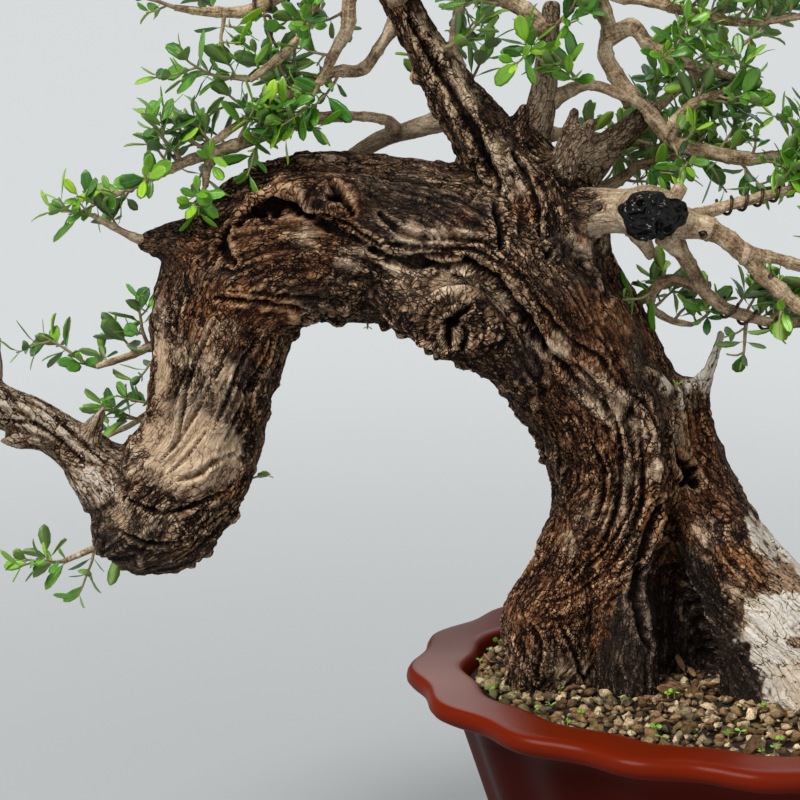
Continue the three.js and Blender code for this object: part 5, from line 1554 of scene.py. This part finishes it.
def grow_between(name, spacing, limbs, seed):
    """Shoots every `spacing` mm along the outer part of each limb, but none over the spike."""
    growth = Growth(seed)
    rng = growth.rng
    for limb in limbs:
        line = Line(LIMBS[limb], 2)
        first = 0.38 * line.length if line.length > 60 else 0.5 * line.length
        for at in np.arange(first, line.length + 1, spacing):
            index = int(min(at / line.length, 1) * (len(line.points) - 1))
            outward = outward_at(line, index, rng.uniform(0, 2 * np.pi))
            heading = outward + 0.6 * line.tangents[index] + (0, 0, 0.35)
            start = line.points[index] + outward * line.radii[index] * 0.7
            is_side = rng.random() < 0.6
            length, vigour = rng.uniform(18, 36), rng.uniform(0.3, 1.2)
            off_spike = (start + 18 * unit(heading) - SPIKE_MIDDLE) * (1, 0.2, 1)
            if np.linalg.norm(off_spike) > SPIKE_CLEARANCE:
                growth.shoot(start, heading, length, 1.1, is_side, vigour)
    return make_foliage(name, growth)


CROWN_PARTS = {
    "leaves_left": (32, "upper_left long_left left_drop top_left left_hanger left_sweep snag_twig"),
    "leaves_sweep": (18, "long_left left_sweep"),
    "leaves_hook": (20, "hook_high hook_mid hook_low"),
    "leaves_right": (7.5, "back_shelf back_fork riser cut_shelf high_shelf cross_twig low_shelf"),
    "leaves_low_right": (9, "right_low right_mid right_under wired_low right_wired"),
    "leaves_crown": (15, "crown_mid crown_left crown_right crown_back crown_back_right crown_front"),
}
for number, (name, (spacing, limbs)) in enumerate(CROWN_PARTS.items()):
    leaf_count += grow_between(name, spacing, limbs.split(), 900 + number)

sprigs = Growth(73, leaf_length=9.0)
for start, heading, length, leaf_length in (
    ((-402, 8, 299), (0.8, -0.2, 0.35), 15, 9.0),
    ((-322, -12, 412), (0.2, -0.4, -0.9), 6, 4.0),
    ((-116, -14, 366), (0.1, -0.6, 0.6), 7, 6.0),
):
    sprigs.leaf_length = leaf_length
    sprigs.shoot(start, heading, length, 0.8, True, 1.2)
leaf_count += make_foliage("leaves_sprigs", sprigs)
print(leaf_count, "leaves in all")

# %% [markdown]
# ## The pot
#
# The pot is thrown and pressed clay: an oval with twenty soft lobes, a broad rolled rim and fluted
# walls. Rings of points at each level, waved by the same cosine as the solid, follow it closely;
# more of them round off every edge of the rim. Feet come from the same sizes.

# %% Pot sizes
POT = {
    "length": 584, "width": 440, "height": 170, "flange": 38, "floor_top": 27, "foot": 14,
    "lobes": 20, "lobe_depth": 3.5, "flute_depth": 2.6,
}
WALL = {"base": 217, "top": 263, "top_z": 152, "inner_floor": 207}
RIM_REACH = POT["length"] / 2
OVAL = RIM_REACH - POT["width"] / 2


def between(z, low_z, low, high_z, high):
    return low + (high - low) * (z - low_z) / (high_z - low_z)


def inner_reach(z):
    return between(z, POT["floor_top"], WALL["inner_floor"], POT["height"] - 4, RIM_REACH - POT["flange"])


def oval(reach, angle):
    """A place on an oval that is `reach` long on each side and narrower by as much as the pot is."""
    return reach * np.cos(angle), (reach - OVAL) * np.sin(angle)


def even_angles(count):
    """Directions that divide the oval rim into equal lengths."""
    fine = np.linspace(0, 2 * np.pi, 7201)
    rim = np.column_stack(oval(RIM_REACH, fine))
    travelled = np.concatenate([[0], np.cumsum(lengths(np.diff(rim, axis=0)))])
    return np.interp(np.arange(count) * travelled[-1] / count, travelled, fine)


# %% Rings of the pot
POT_SECTORS = 320
POT_ANGLES = even_angles(POT_SECTORS)
LOBE_WAVE = np.cos(np.arange(POT_SECTORS) / POT_SECTORS * POT["lobes"] * 2 * np.pi)


def oval_ring(reach, z, wave):
    x, y = oval(reach + wave * LOBE_WAVE, POT_ANGLES)
    return np.column_stack([x, y, np.full(POT_SECTORS, z)])


def pot_levels():
    """(reach, height, wave) from the base up the outside, over the rim and down the inside."""
    base, flute, lobe, top = WALL["base"], POT["flute_depth"], POT["lobe_depth"], POT["height"]
    levels = [(base - 4, 14, flute), (base - 1, 14.6, flute), (base + 0.5, 17, flute)]
    for z in np.linspace(24, WALL["top_z"] - 6, 14):
        levels.append((between(z, 14, base, WALL["top_z"], WALL["top"]), z, flute))
    levels += [(265, 149, flute), (269, 152, flute)]
    levels += [(277, 153.4, lobe), (285, 154.6, lobe), (289.5, 157, lobe)]
    roll = [(0.4, 159.5), (0, 162), (0.6, 165.5), (2.2, 168.2), (5, 169.5), (10, 169.9)]
    levels += [(RIM_REACH - inward, z, lobe) for inward, z in roll]
    flat = [(20, 170, flute + 0.4), (30, 169.8, flute), (35, 169.2, flute)]
    levels += [(RIM_REACH - inward, z, wave) for inward, z, wave in flat]
    levels += [(inner_reach(top - 4) + 0.6, 167.6, flute), (inner_reach(top - 4), top - 5, flute)]
    levels += [(inner_reach(z), z, flute) for z in (155, 120, 80, 40, 33)]
    return levels + [(inner_reach(27) - 8, 27, flute)]


# %% The pot's body and feet
def make_pot():
    rings = [oval_ring(*level) for level in pot_levels()]
    body = skin(rings, [(0, 0, POT["foot"]), (0, 0, POT["floor_top"])])
    feet = [foot(angle) for angle in (45, 135, 225, 315)]
    return new_object("clay_pot", new_mesh("clay_pot", *gather([body, *feet])), [clay_material()])


def foot(middle, half_span=17, width=26, steps=12):
    """A curved block under the edge of the base, with its lower edges eased."""
    outer, outline = WALL["base"] - 8, []
    for reach, span in ((outer, half_span), (outer - width, 2 - half_span)):
        outline += [oval(reach, math.radians(middle + t)) for t in np.linspace(-span, span, steps + 1)]
    outline = np.array(outline)
    centre, count = outline.mean(0), len(outline)
    layers = [(0, 0.93), (1.2, 0.985), (3, 1), (17, 1)]
    rings = [np.column_stack([centre + (outline - centre) * scale, np.full(count, z)]) for z, scale in layers]
    faces = [list(range(count))[::-1], [3 * count + i for i in range(count)]]
    for start in range(0, 3 * count, count):
        for i in range(count):
            j = (i + 1) % count
            faces.append([start + i, start + j, start + count + j, start + count + i])
    return np.vstack(rings), faces


# %% [markdown]
# Unglazed red clay fires to a satin skin. It is not one red: the kiln leaves darker breaths of
# colour and years of watering leave faint runs down the wall. Handling polishes the rim, whose top
# is painted a brighter red than the wall as painted light, and the flange at the left end is painted
# grey as a painted reflection of the bright surround. The colour is kept deep and the shine broad,
# which reads as clay; a sharp shine would read as plastic.

# %% Clay
# Where the painted reflection on the flange fades out along the pot, in the part's frame.
PAINTED_REFLECTION_END = (POT_MIDDLE[0] - 0.262, POT_MIDDLE[0] - 0.205)


def clay_material():
    shader = Shader("red_clay", Specular_IOR_Level=0.03, Coat_Roughness=0.2)
    place = shader.place()
    breath = shader.noise(place, 7, detail=3)
    grit_fine = shader.noise(place, 900, detail=2)
    runs = shader.noise(shader.stretch(place, (26, 26, 3.2)), 1.0, detail=4)
    along, height = (shader.add("ShaderNodeSeparateXYZ", {}, {"Vector": place}, axis) for axis in (0, 2))
    below_rim, rim = 1 - height.fade(0.1, 0.165), height.fade(0.15, 0.168)
    flange = height.fade(0.1686, 0.1698)
    colour = shader.mix(breath.fade(0.35, 0.7), (0.038, 0.0022, 0.0007), (0.066, 0.004, 0.0012))
    colour = shader.mix(runs.fade(0.5, 0.72) * below_rim * 0.4, colour, (0.05, 0.004, 0.0015))
    colour = shader.mix(grit_fine.fade(0.62, 0.72) * 0.2, colour, (0.16, 0.02, 0.006))
    # Painted light: the top of the rim is painted a brighter red than the wall; the coat and roughness are
    # its real polish.
    colour = shader.mix(rim * 0.85, colour, (0.165, 0.0125, 0.001))
    # Painted reflection: the left end of the flange is painted grey, as if it mirrored the bright surround.
    pale_patch = flange * (1 - along.fade(*PAINTED_REFLECTION_END)) * (0.27 + breath * 0.3)
    colour = shader.mix(pale_patch, colour, (0.35, 0.28, 0.26))
    dents = (grit_fine * 0.25 + runs * 0.4 + breath * 0.5, 0.0007, 0.35)
    coat = 0.04 + rim * 0.06 + flange * 0.22
    return shader.finish(colour, 0.4 + breath * 0.12 - rim * 0.04, dents, coat)


seat(make_pot(), "fired_clay", "pot")

# %% [markdown]
# ## Soil, stones and seedlings
#
# The pot is filled with a free-draining mix: broken pumice and baked clay, from fine crumbs to
# stones as long as a fingernail, with a little moss between. The packed soil solid stays as the
# dark bed. Each stone is the hull of a few points on a squashed ball, which has the flat faces of
# broken stone, and they are dropped one by one so that no two share a place.

# %% Bed
SOIL = {"edge_z": 161, "crown": 8}
BED_REACH = inner_reach(SOIL["edge_z"]) - 1


def bed_share(x, y):
    return np.sqrt((x / BED_REACH) ** 2 + (y / (BED_REACH - OVAL)) ** 2)


def bed_height(x, y):
    return SOIL["edge_z"] + SOIL["crown"] * (1 - bed_share(x, y) ** 2)


def on_bed(angle, share):
    return BED_REACH * share * math.cos(angle), (BED_REACH - OVAL) * share * math.sin(angle)


def soil_material():
    shader = Shader("dark_soil", Specular_IOR_Level=0.2)
    place = shader.place()
    crumbs = shader.noise(place, 260, detail=4, roughness=0.7)
    clods = shader.noise(place, 70, detail=2)
    stops = [(0.3, 0.008, 0.0055, 0.004), (0.55, 0.03, 0.02, 0.012), (0.8, 0.1, 0.068, 0.04)]
    colour = shader.ramp((crumbs * 0.7 + clods * 0.4 - 0.05).clamp(), stops)
    return shader.finish(colour, 0.92 - crumbs * 0.1, (crumbs, 0.002, 0.9))


def dress(node, material):
    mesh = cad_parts[node].data
    mesh.materials.clear()
    mesh.materials.append(material)


dress("soil", soil_material())


# %% Where the stones fall
tree_finder = BVHTree.FromPolygons([Vector(p) for p in carved_points], wood_triangles.tolist())


def inside_wood(point, clearance):
    where, normal, _, distance = tree_finder.find_nearest(Vector(point))
    return distance < clearance or (Vector(point) - where).dot(normal) < 0


def drop_places(rng, wanted, low, high, tries):
    """Places and sizes on the bed, apart from each other and clear of the wood."""
    placed, squares = [], {}
    for _ in range(tries):
        if len(placed) >= wanted:
            break
        angle, share = rng.uniform(0, 2 * np.pi), math.sqrt(rng.random()) * 0.985
        x, y = on_bed(angle, share)
        size = rng.triangular(low, 0.6 * low + 0.4 * high, high)
        i, j = int(x // high), int(y // high)
        close = [p for a in (-1, 0, 1) for b in (-1, 0, 1) for p in squares.get((i + a, j + b), ())]
        if any((x - a) ** 2 + (y - b) ** 2 < (0.33 * (size + s)) ** 2 for a, b, s in close):
            continue
        z = bed_height(x, y)
        if inside_wood((x, y, z + 2), 0.3 * size):
            continue
        squares.setdefault((i, j), []).append((x, y, size))
        placed.append((x, y, z, size))
    return np.array(placed)


# %% One stone, and a pile of them
def broken_stone(rng, eased):
    """The hull of a few points on a squashed ball, scaled to reach 1."""
    points = rng.normal(size=(11, 3))
    points *= rng.uniform(0.8, 1.0, (11, 1)) / lengths(points)[:, None]
    points *= (1, rng.uniform(0.65, 0.95), rng.uniform(0.5, 0.8))
    net = bmesh.new()
    for point in points:
        net.verts.new(point)
    bmesh.ops.convex_hull(net, input=net.verts)
    bmesh.ops.delete(net, geom=[vertex for vertex in net.verts if not vertex.link_faces], context="VERTS")
    if eased:
        bmesh.ops.subdivide_edges(net, edges=net.edges, cuts=1, use_grid_fill=True)
        every_way = {f"use_axis_{axis}": True for axis in "xyz"}
        bmesh.ops.smooth_vert(net, verts=net.verts, factor=0.1, **every_way)
    bmesh.ops.triangulate(net, faces=net.faces)
    net.verts.index_update()
    corners = np.array([vertex.co[:] for vertex in net.verts])
    faces = np.array([[vertex.index for vertex in face.verts] for face in net.faces])
    net.free()
    return corners / np.abs(corners).max(), faces


def turned(points, rng):
    """The points turned any way round, but still lying rather flat."""
    spin, tip, roll = rng.uniform(0, 2 * np.pi), rng.normal(0, 0.35), rng.uniform(0, 2 * np.pi)
    for angle, (a, b) in ((roll, (0, 1)), (tip, (1, 2)), (spin, (0, 1))):
        cosine, sine = math.cos(angle), math.sin(angle)
        first, second = points[:, a], points[:, b]
        points = points.copy()
        points[:, a], points[:, b] = cosine * first - sine * second, sine * first + cosine * second
    return points


def make_stones(name, material, seed, wanted, low, high, tries, eased):
    rng = np.random.default_rng(seed)
    shapes = [broken_stone(rng, eased) for _ in range(18)]
    parts, tone, hue = [], [], []
    for x, y, z, size in drop_places(rng, wanted, low, high, tries):
        corners, faces = shapes[rng.integers(len(shapes))]
        points = turned(corners * size / 2, rng)
        sunk = -points[:, 2].min() * rng.uniform(0.25, 0.95)
        parts.append((points + (x, y, z + sunk), faces.tolist()))
        tone += len(points) * [rng.random()]
        hue += len(points) * [rng.random()]
    mesh = new_mesh(name, *gather(parts), tone=tone, hue=hue)
    print(len(parts), name)
    return new_object(name, mesh, [material])


# %% Stone and moss
def stone_material():
    shader = Shader("broken_stone", Specular_IOR_Level=0.25)
    place = shader.place()
    tone, hue = shader.stored("tone"), shader.stored("hue")
    pores = shader.noise(place, 800, detail=3, roughness=0.7)
    dirt = shader.noise(place, 170, detail=2)
    cream = shader.mix(tone, (0.32, 0.19, 0.08), (0.98, 0.77, 0.47))
    rust = shader.mix(tone, (0.15, 0.075, 0.03), (0.44, 0.26, 0.12))
    grey = shader.mix(tone, (0.1, 0.07, 0.034), (0.46, 0.36, 0.21))
    colour = shader.mix(hue.fade(0.52, 0.56), cream, rust)
    colour = shader.mix(hue.fade(0.84, 0.87), colour, grey)
    colour = shader.mix((1 - pores.fade(0.38, 0.54)) * 0.55, colour, (0.045, 0.026, 0.014))
    colour = shader.mix(dirt.fade(0.48, 0.6) * 0.75, colour, (0.045, 0.025, 0.011))
    algae = shader.noise(place, 22, detail=3).fade(0.54, 0.66)
    colour = shader.mix(algae * 0.4, colour, (0.07, 0.11, 0.02))
    return shader.finish(colour, 0.92 - pores * 0.1, (pores + dirt, 0.0014, 0.9))


def moss_material():
    shader = Shader("moss", Specular_IOR_Level=0.1)
    tufts = shader.noise(shader.place(), 900, detail=3, roughness=0.7)
    stops = [(0.3, 0.006, 0.02, 0.003), (0.5, 0.05, 0.14, 0.015), (0.7, 0.22, 0.42, 0.05)]
    colour = shader.ramp(tufts, stops)
    return shader.finish(colour, 0.95 - tufts * 0.1, (tufts, 0.0012, 1.0))


STONE, MOSS = stone_material(), moss_material()
# name, material, seed, how many, least and greatest size in mm, tries, and whether the edges are worn
PILES = [
    ("moss_cushions", MOSS, 33, 90, 2.5, 6.5, 9000, False),
    ("stones", STONE, 31, 1500, 5.0, 15.0, 24000, True),
    ("crumbs", STONE, 32, 2400, 1.8, 5.2, 9000, False),
]
for pile in PILES:
    seat(make_stones(*pile), "grit")

# %% [markdown]
# Seeds blow into any pot that stands out of doors. Their first two leaves are round and bright.
# Old leaves fall, curl and turn brown, and lie longest against the foot of the tree.

# %% One leaf and its stem
def leaf(rng, root, along, face, length, plump, **shape):
    along, face = unit(along), np.array(face, float)
    face = unit(face - along * (along @ face))
    width = length * plump
    place = {"root": np.array(root, float), "along": along, "face": face, "length": length, "width": width}
    return place | {"droop": 0.0, "fold": 0.1, "curl": 0.0, "tone": rng.random(), "fresh": 1.0} | shape


def stand(growth, base, top):
    """A short stem from the gravel."""
    middle = (np.array(base) + top) / 2 + growth.rng.normal(0, 0.4, 3)
    growth.stems.append(Line(np.column_stack([[base, middle, top], (0.55, 0.45, 0.4)]), 1.5))


# %% Seedlings
def make_seedlings():
    growth = Growth(71)
    rng = growth.rng
    for _ in range(110):
        angle, share = rng.uniform(0, 2 * np.pi), 0.975 - 0.4 * rng.random() ** 2.5
        x, y = on_bed(angle, share)
        base = np.array([x, y, bed_height(x, y) + 1.5])
        if inside_wood(base, 4):
            continue
        top = base + (rng.normal(0, 1), rng.normal(0, 1), rng.uniform(3, 7))
        stand(growth, base, top)
        turn, size = rng.uniform(0, 2 * np.pi), rng.uniform(2.8, 4.8)
        sky = rng.normal(0, 0.5, 3) + (0, -0.3, 1)
        for step in range(2 if rng.random() < 0.7 else 4):
            way = turn + step * np.pi + (step > 1) * np.pi / 2
            along = (math.cos(way), math.sin(way), 0.35)
            shape = {"droop": 0.1, "fresh": rng.uniform(0.1, 0.7)}
            growth.leaves.append(leaf(rng, top, along, sky, size, 0.85, **shape))
    return make_foliage("seedlings", growth)


# %% Fallen leaves
def make_fallen_leaves():
    growth = Growth(72)
    rng = growth.rng
    places = [(-105, -52), (-92, -62), (-120, -58), (-199, -104), (-186, -98), (-80, -70), (-112, -66)]
    for _ in range(90):
        angle, share = rng.uniform(0, 2 * np.pi), 0.96 * math.sqrt(rng.random())
        places.append(on_bed(angle, share))
    for x, y in places:
        root = np.array([x, y, bed_height(x, y) + rng.uniform(5, 8)])
        if inside_wood(root, 3):
            continue
        turn = rng.uniform(0, 2 * np.pi)
        along = (math.cos(turn), math.sin(turn), rng.normal(0, 0.2))
        face = rng.normal(0, 0.45, 3) + (0, 0, 1)
        bend = {"droop": rng.uniform(-0.45, 0.4), "fold": rng.uniform(0.2, 1.0)}
        bend["curl"] = rng.uniform(-2.4, 2.4)
        length, plump = rng.uniform(13, 25), rng.uniform(0.3, 0.5)
        growth.leaves.append(leaf(rng, root, along, face, length, plump, **bend))
        stand(growth, root - (0, 0, 0.3), root - np.array(along) * 3)
    return make_foliage("fallen_leaves", growth, materials=[dry_leaf, dry_leaf])


def dry_leaf_material():
    shader = Shader("dry_leaf", Specular_IOR_Level=0.2)
    spots = shader.noise(shader.place(), 320, detail=3)
    stops = [(0.1, 0.035, 0.018, 0.008), (0.5, 0.16, 0.085, 0.035), (0.9, 0.4, 0.26, 0.13)]
    colour = shader.ramp((shader.stored("tone") * 0.8 + (spots - 0.5) * 0.9 + 0.1).clamp(), stops)
    return shader.finish(colour, 0.7 + spots * 0.15, (spots, 0.0005, 0.6))


dry_leaf = dry_leaf_material()
print(make_seedlings(), "leaves on seedlings,", make_fallen_leaves(), "fallen leaves")

# %% [markdown]
# ## Paste, wires and drain meshes
#
# The cut on the right-hand limb is sealed with black paste, put on thick with a finger, so it is
# lumpy and shines. Annealed wire holds three limbs to their curve; each wire is a fine tube along
# a helix that stays a hair off the bark.

# %% Wound paste
PASTE = {"middle": (-140, -70.2, 491), "half_width": 21.5, "half_height": 16.0, "bulge": 8.6}


def make_paste():
    bulge, sides, layers = PASTE["bulge"], 72, 26
    angles = full_circle(sides)
    outline = 1 + 0.06 * np.sin(3 * angles + 1) + 0.04 * np.sin(5 * angles)
    circle = np.column_stack([np.cos(angles), np.sin(angles), 0 * angles])
    outline += 0.26 * (clouds(3.4 * circle, 3, 90) - 0.5)
    rings = []
    for share in np.linspace(0, 1, layers):
        turn = share * np.pi / 2
        eased = 0.94 + 0.06 * math.sin(min(1, share * 5) * np.pi / 2)
        reach = outline * (eased * math.cos(turn) ** 0.55 if share < 1 else 0.04)
        x, z = PASTE["half_width"] * reach * np.cos(angles), PASTE["half_height"] * reach * np.sin(angles)
        rings.append(np.column_stack([x, np.full(sides, -bulge * math.sin(turn)), z]))
    points, faces = skin(rings, [(0, 0, 0), (0, -bulge - 0.6, 0)])
    lumps = clouds(points / 4.2, 3, 91)
    folds = ridges(clouds(points / (9, 9, 4.5), 2, 92))
    raised = np.append(np.repeat(np.linspace(0, 1, layers) > 0.12, sides), [False, False])
    points[:, 1] -= raised * (9.0 * (lumps - 0.5) + 4.0 * (folds - 0.6))
    return new_object("paste", new_mesh("paste", points + PASTE["middle"], faces), [paste_material()])


def paste_material():
    shader = Shader("black_paste", Specular_IOR_Level=0.1, Coat_Roughness=0.06)
    place = shader.place()
    lumps = shader.noise(place, 330, detail=4, roughness=0.65)
    pale_patch = shader.noise(place, 60, detail=2).fade(0.55, 0.7)
    crumbs = shader.noise(place, 900, detail=3, roughness=0.7)
    dull = (pale_patch * 0.5 + crumbs.fade(0.56, 0.72) * 0.5).clamp()
    colour = shader.mix(dull, (0.0022, 0.002, 0.0022), (0.085, 0.058, 0.04))
    dents, coat = (lumps + crumbs * 0.5, 0.008, 1.0), 0.45 * (1 - pale_patch)
    return shader.finish(colour, 0.2 + lumps * 0.3, dents, coat)


seat(make_paste(), "wound_paste", "cut_paste")

# %% Scars of cut twigs on the right-hand limb
SCAR_IN_VIEW = (599, 207)
SCARS = [
    (on_bark(*SCAR_IN_VIEW), 2.2),
    (np.array([-105.8, -57.2, 477.2]), 2.3),
    (np.array([-62, -60.0, 450]), 1.4),
]
# mm towards the camera, and share of the scar's radius
SCAR_PROFILE = [(-4, 1.3), (-0.9, 1.15), (0.1, 0.7)]


def make_scars():
    parts = []
    for place, radius in SCARS:
        stations = [(*(place + TO_CAMERA * step), radius * share) for step, share in SCAR_PROFILE]
        parts.append(tube(Line(stations, 0.8), 12, bluntness=0.3))
    points, faces = gather(parts)
    points = points + 2.4 * np.stack([clouds(points / 2.6, 2, seed) - 0.5 for seed in (95, 96, 97)], axis=1)
    return new_object("twig_scars", new_mesh("twig_scars", points, faces), [scar_material()])


def scar_material():
    shader = Shader("callused_scar", Specular_IOR_Level=0.15)
    rot = shader.noise(shader.place(), 420, detail=3, roughness=0.7)
    stops = [(0.3, 0.004, 0.003, 0.003), (0.48, 0.022, 0.015, 0.012), (0.62, 0.2, 0.14, 0.095)]
    colour = shader.ramp(rot, stops)
    return shader.finish(colour, 0.8 + rot * 0.1, (rot, 0.001, 0.9))


seat(make_scars(), "bark")

# %% Wires: limb, where the wire starts and ends on it, turns, and a loose tail
WIRE_RADIUS, STEPS_PER_TURN = 1.1, 22
WIRES = {
    "wire_top_left": ("top_left", 0.42, 0.6, 3, [(-385, -3, 612), (-384, -5, 600), (-380, -6, 592)]),
    "wire_right_under": ("right_under", 0.5, 0.7, 3, []),
    "wire_right": ("right_wired", 0.24, 0.54, 4, []),
}


def make_wire(name, limb, start, end, turns, tail):
    line = Line(LIMBS[limb], 1)
    count = turns * STEPS_PER_TURN
    places = np.linspace(start, end, count)
    middle, side, across, radius = (
        np.column_stack([np.interp(places, line.u, column) for column in values.T])
        for values in (line.points, line.sides, line.across, line.radii[:, None])
    )
    reach = radius * 1.06 + WIRE_RADIUS * 0.8
    angle = np.linspace(0, turns * 2 * np.pi, count)[:, None]
    helix = middle + reach * (side * np.cos(angle) + across * np.sin(angle))
    path = np.vstack([helix, tail]) if tail else helix
    stations = np.column_stack([path, np.full(len(path), WIRE_RADIUS)])
    points, faces = tube(Line(stations, 1.1), 8, bluntness=0.3)
    return new_object(name + "_wound", new_mesh(name, points, faces), [wire_material])


def make_wire_material():
    shader = Shader("annealed_wire", Metallic=0.85)
    scuffs = shader.noise(shader.place(), 500, detail=3)
    colour = shader.mix(scuffs.fade(0.5, 0.7), (0.075, 0.043, 0.026), (0.2, 0.12, 0.075))
    return shader.finish(colour, 0.32 + scuffs * 0.25, (scuffs, 0.0002, 0.4))


wire_material = make_wire_material()
for name, course in WIRES.items():
    seat(make_wire(name, *course), "wire_metal", name)


# %% Drain meshes
def mesh_plastic_material():
    shader = Shader("mesh_plastic", Specular_IOR_Level=0.4)
    haze = shader.noise(shader.place(), 120, detail=2)
    colour = shader.mix(haze, (0.012, 0.016, 0.013), (0.03, 0.036, 0.03))
    return shader.finish(colour, 0.5 + haze * 0.2)


plastic = mesh_plastic_material()
for side in ("left", "right"):
    dress(f"drain_mesh_{side}", plastic)

# %% [markdown]
# ## Last look
#
# The dressed part is meant to keep within the size of the solids, apart from the tip of a leaf
# here and there. Both boxes are written down side by side.

# %% Sizes and finish
print(len(piece_sizes), "pieces,", sum(piece_sizes.values()), "triangles; most:", max(piece_sizes.values()))
visual_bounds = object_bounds()
for name, (low, high) in (("cad", cad_bounds), ("visual", visual_bounds)):
    print(name, [round(v, 4) for v in low], [round(v, 4) for v in high])
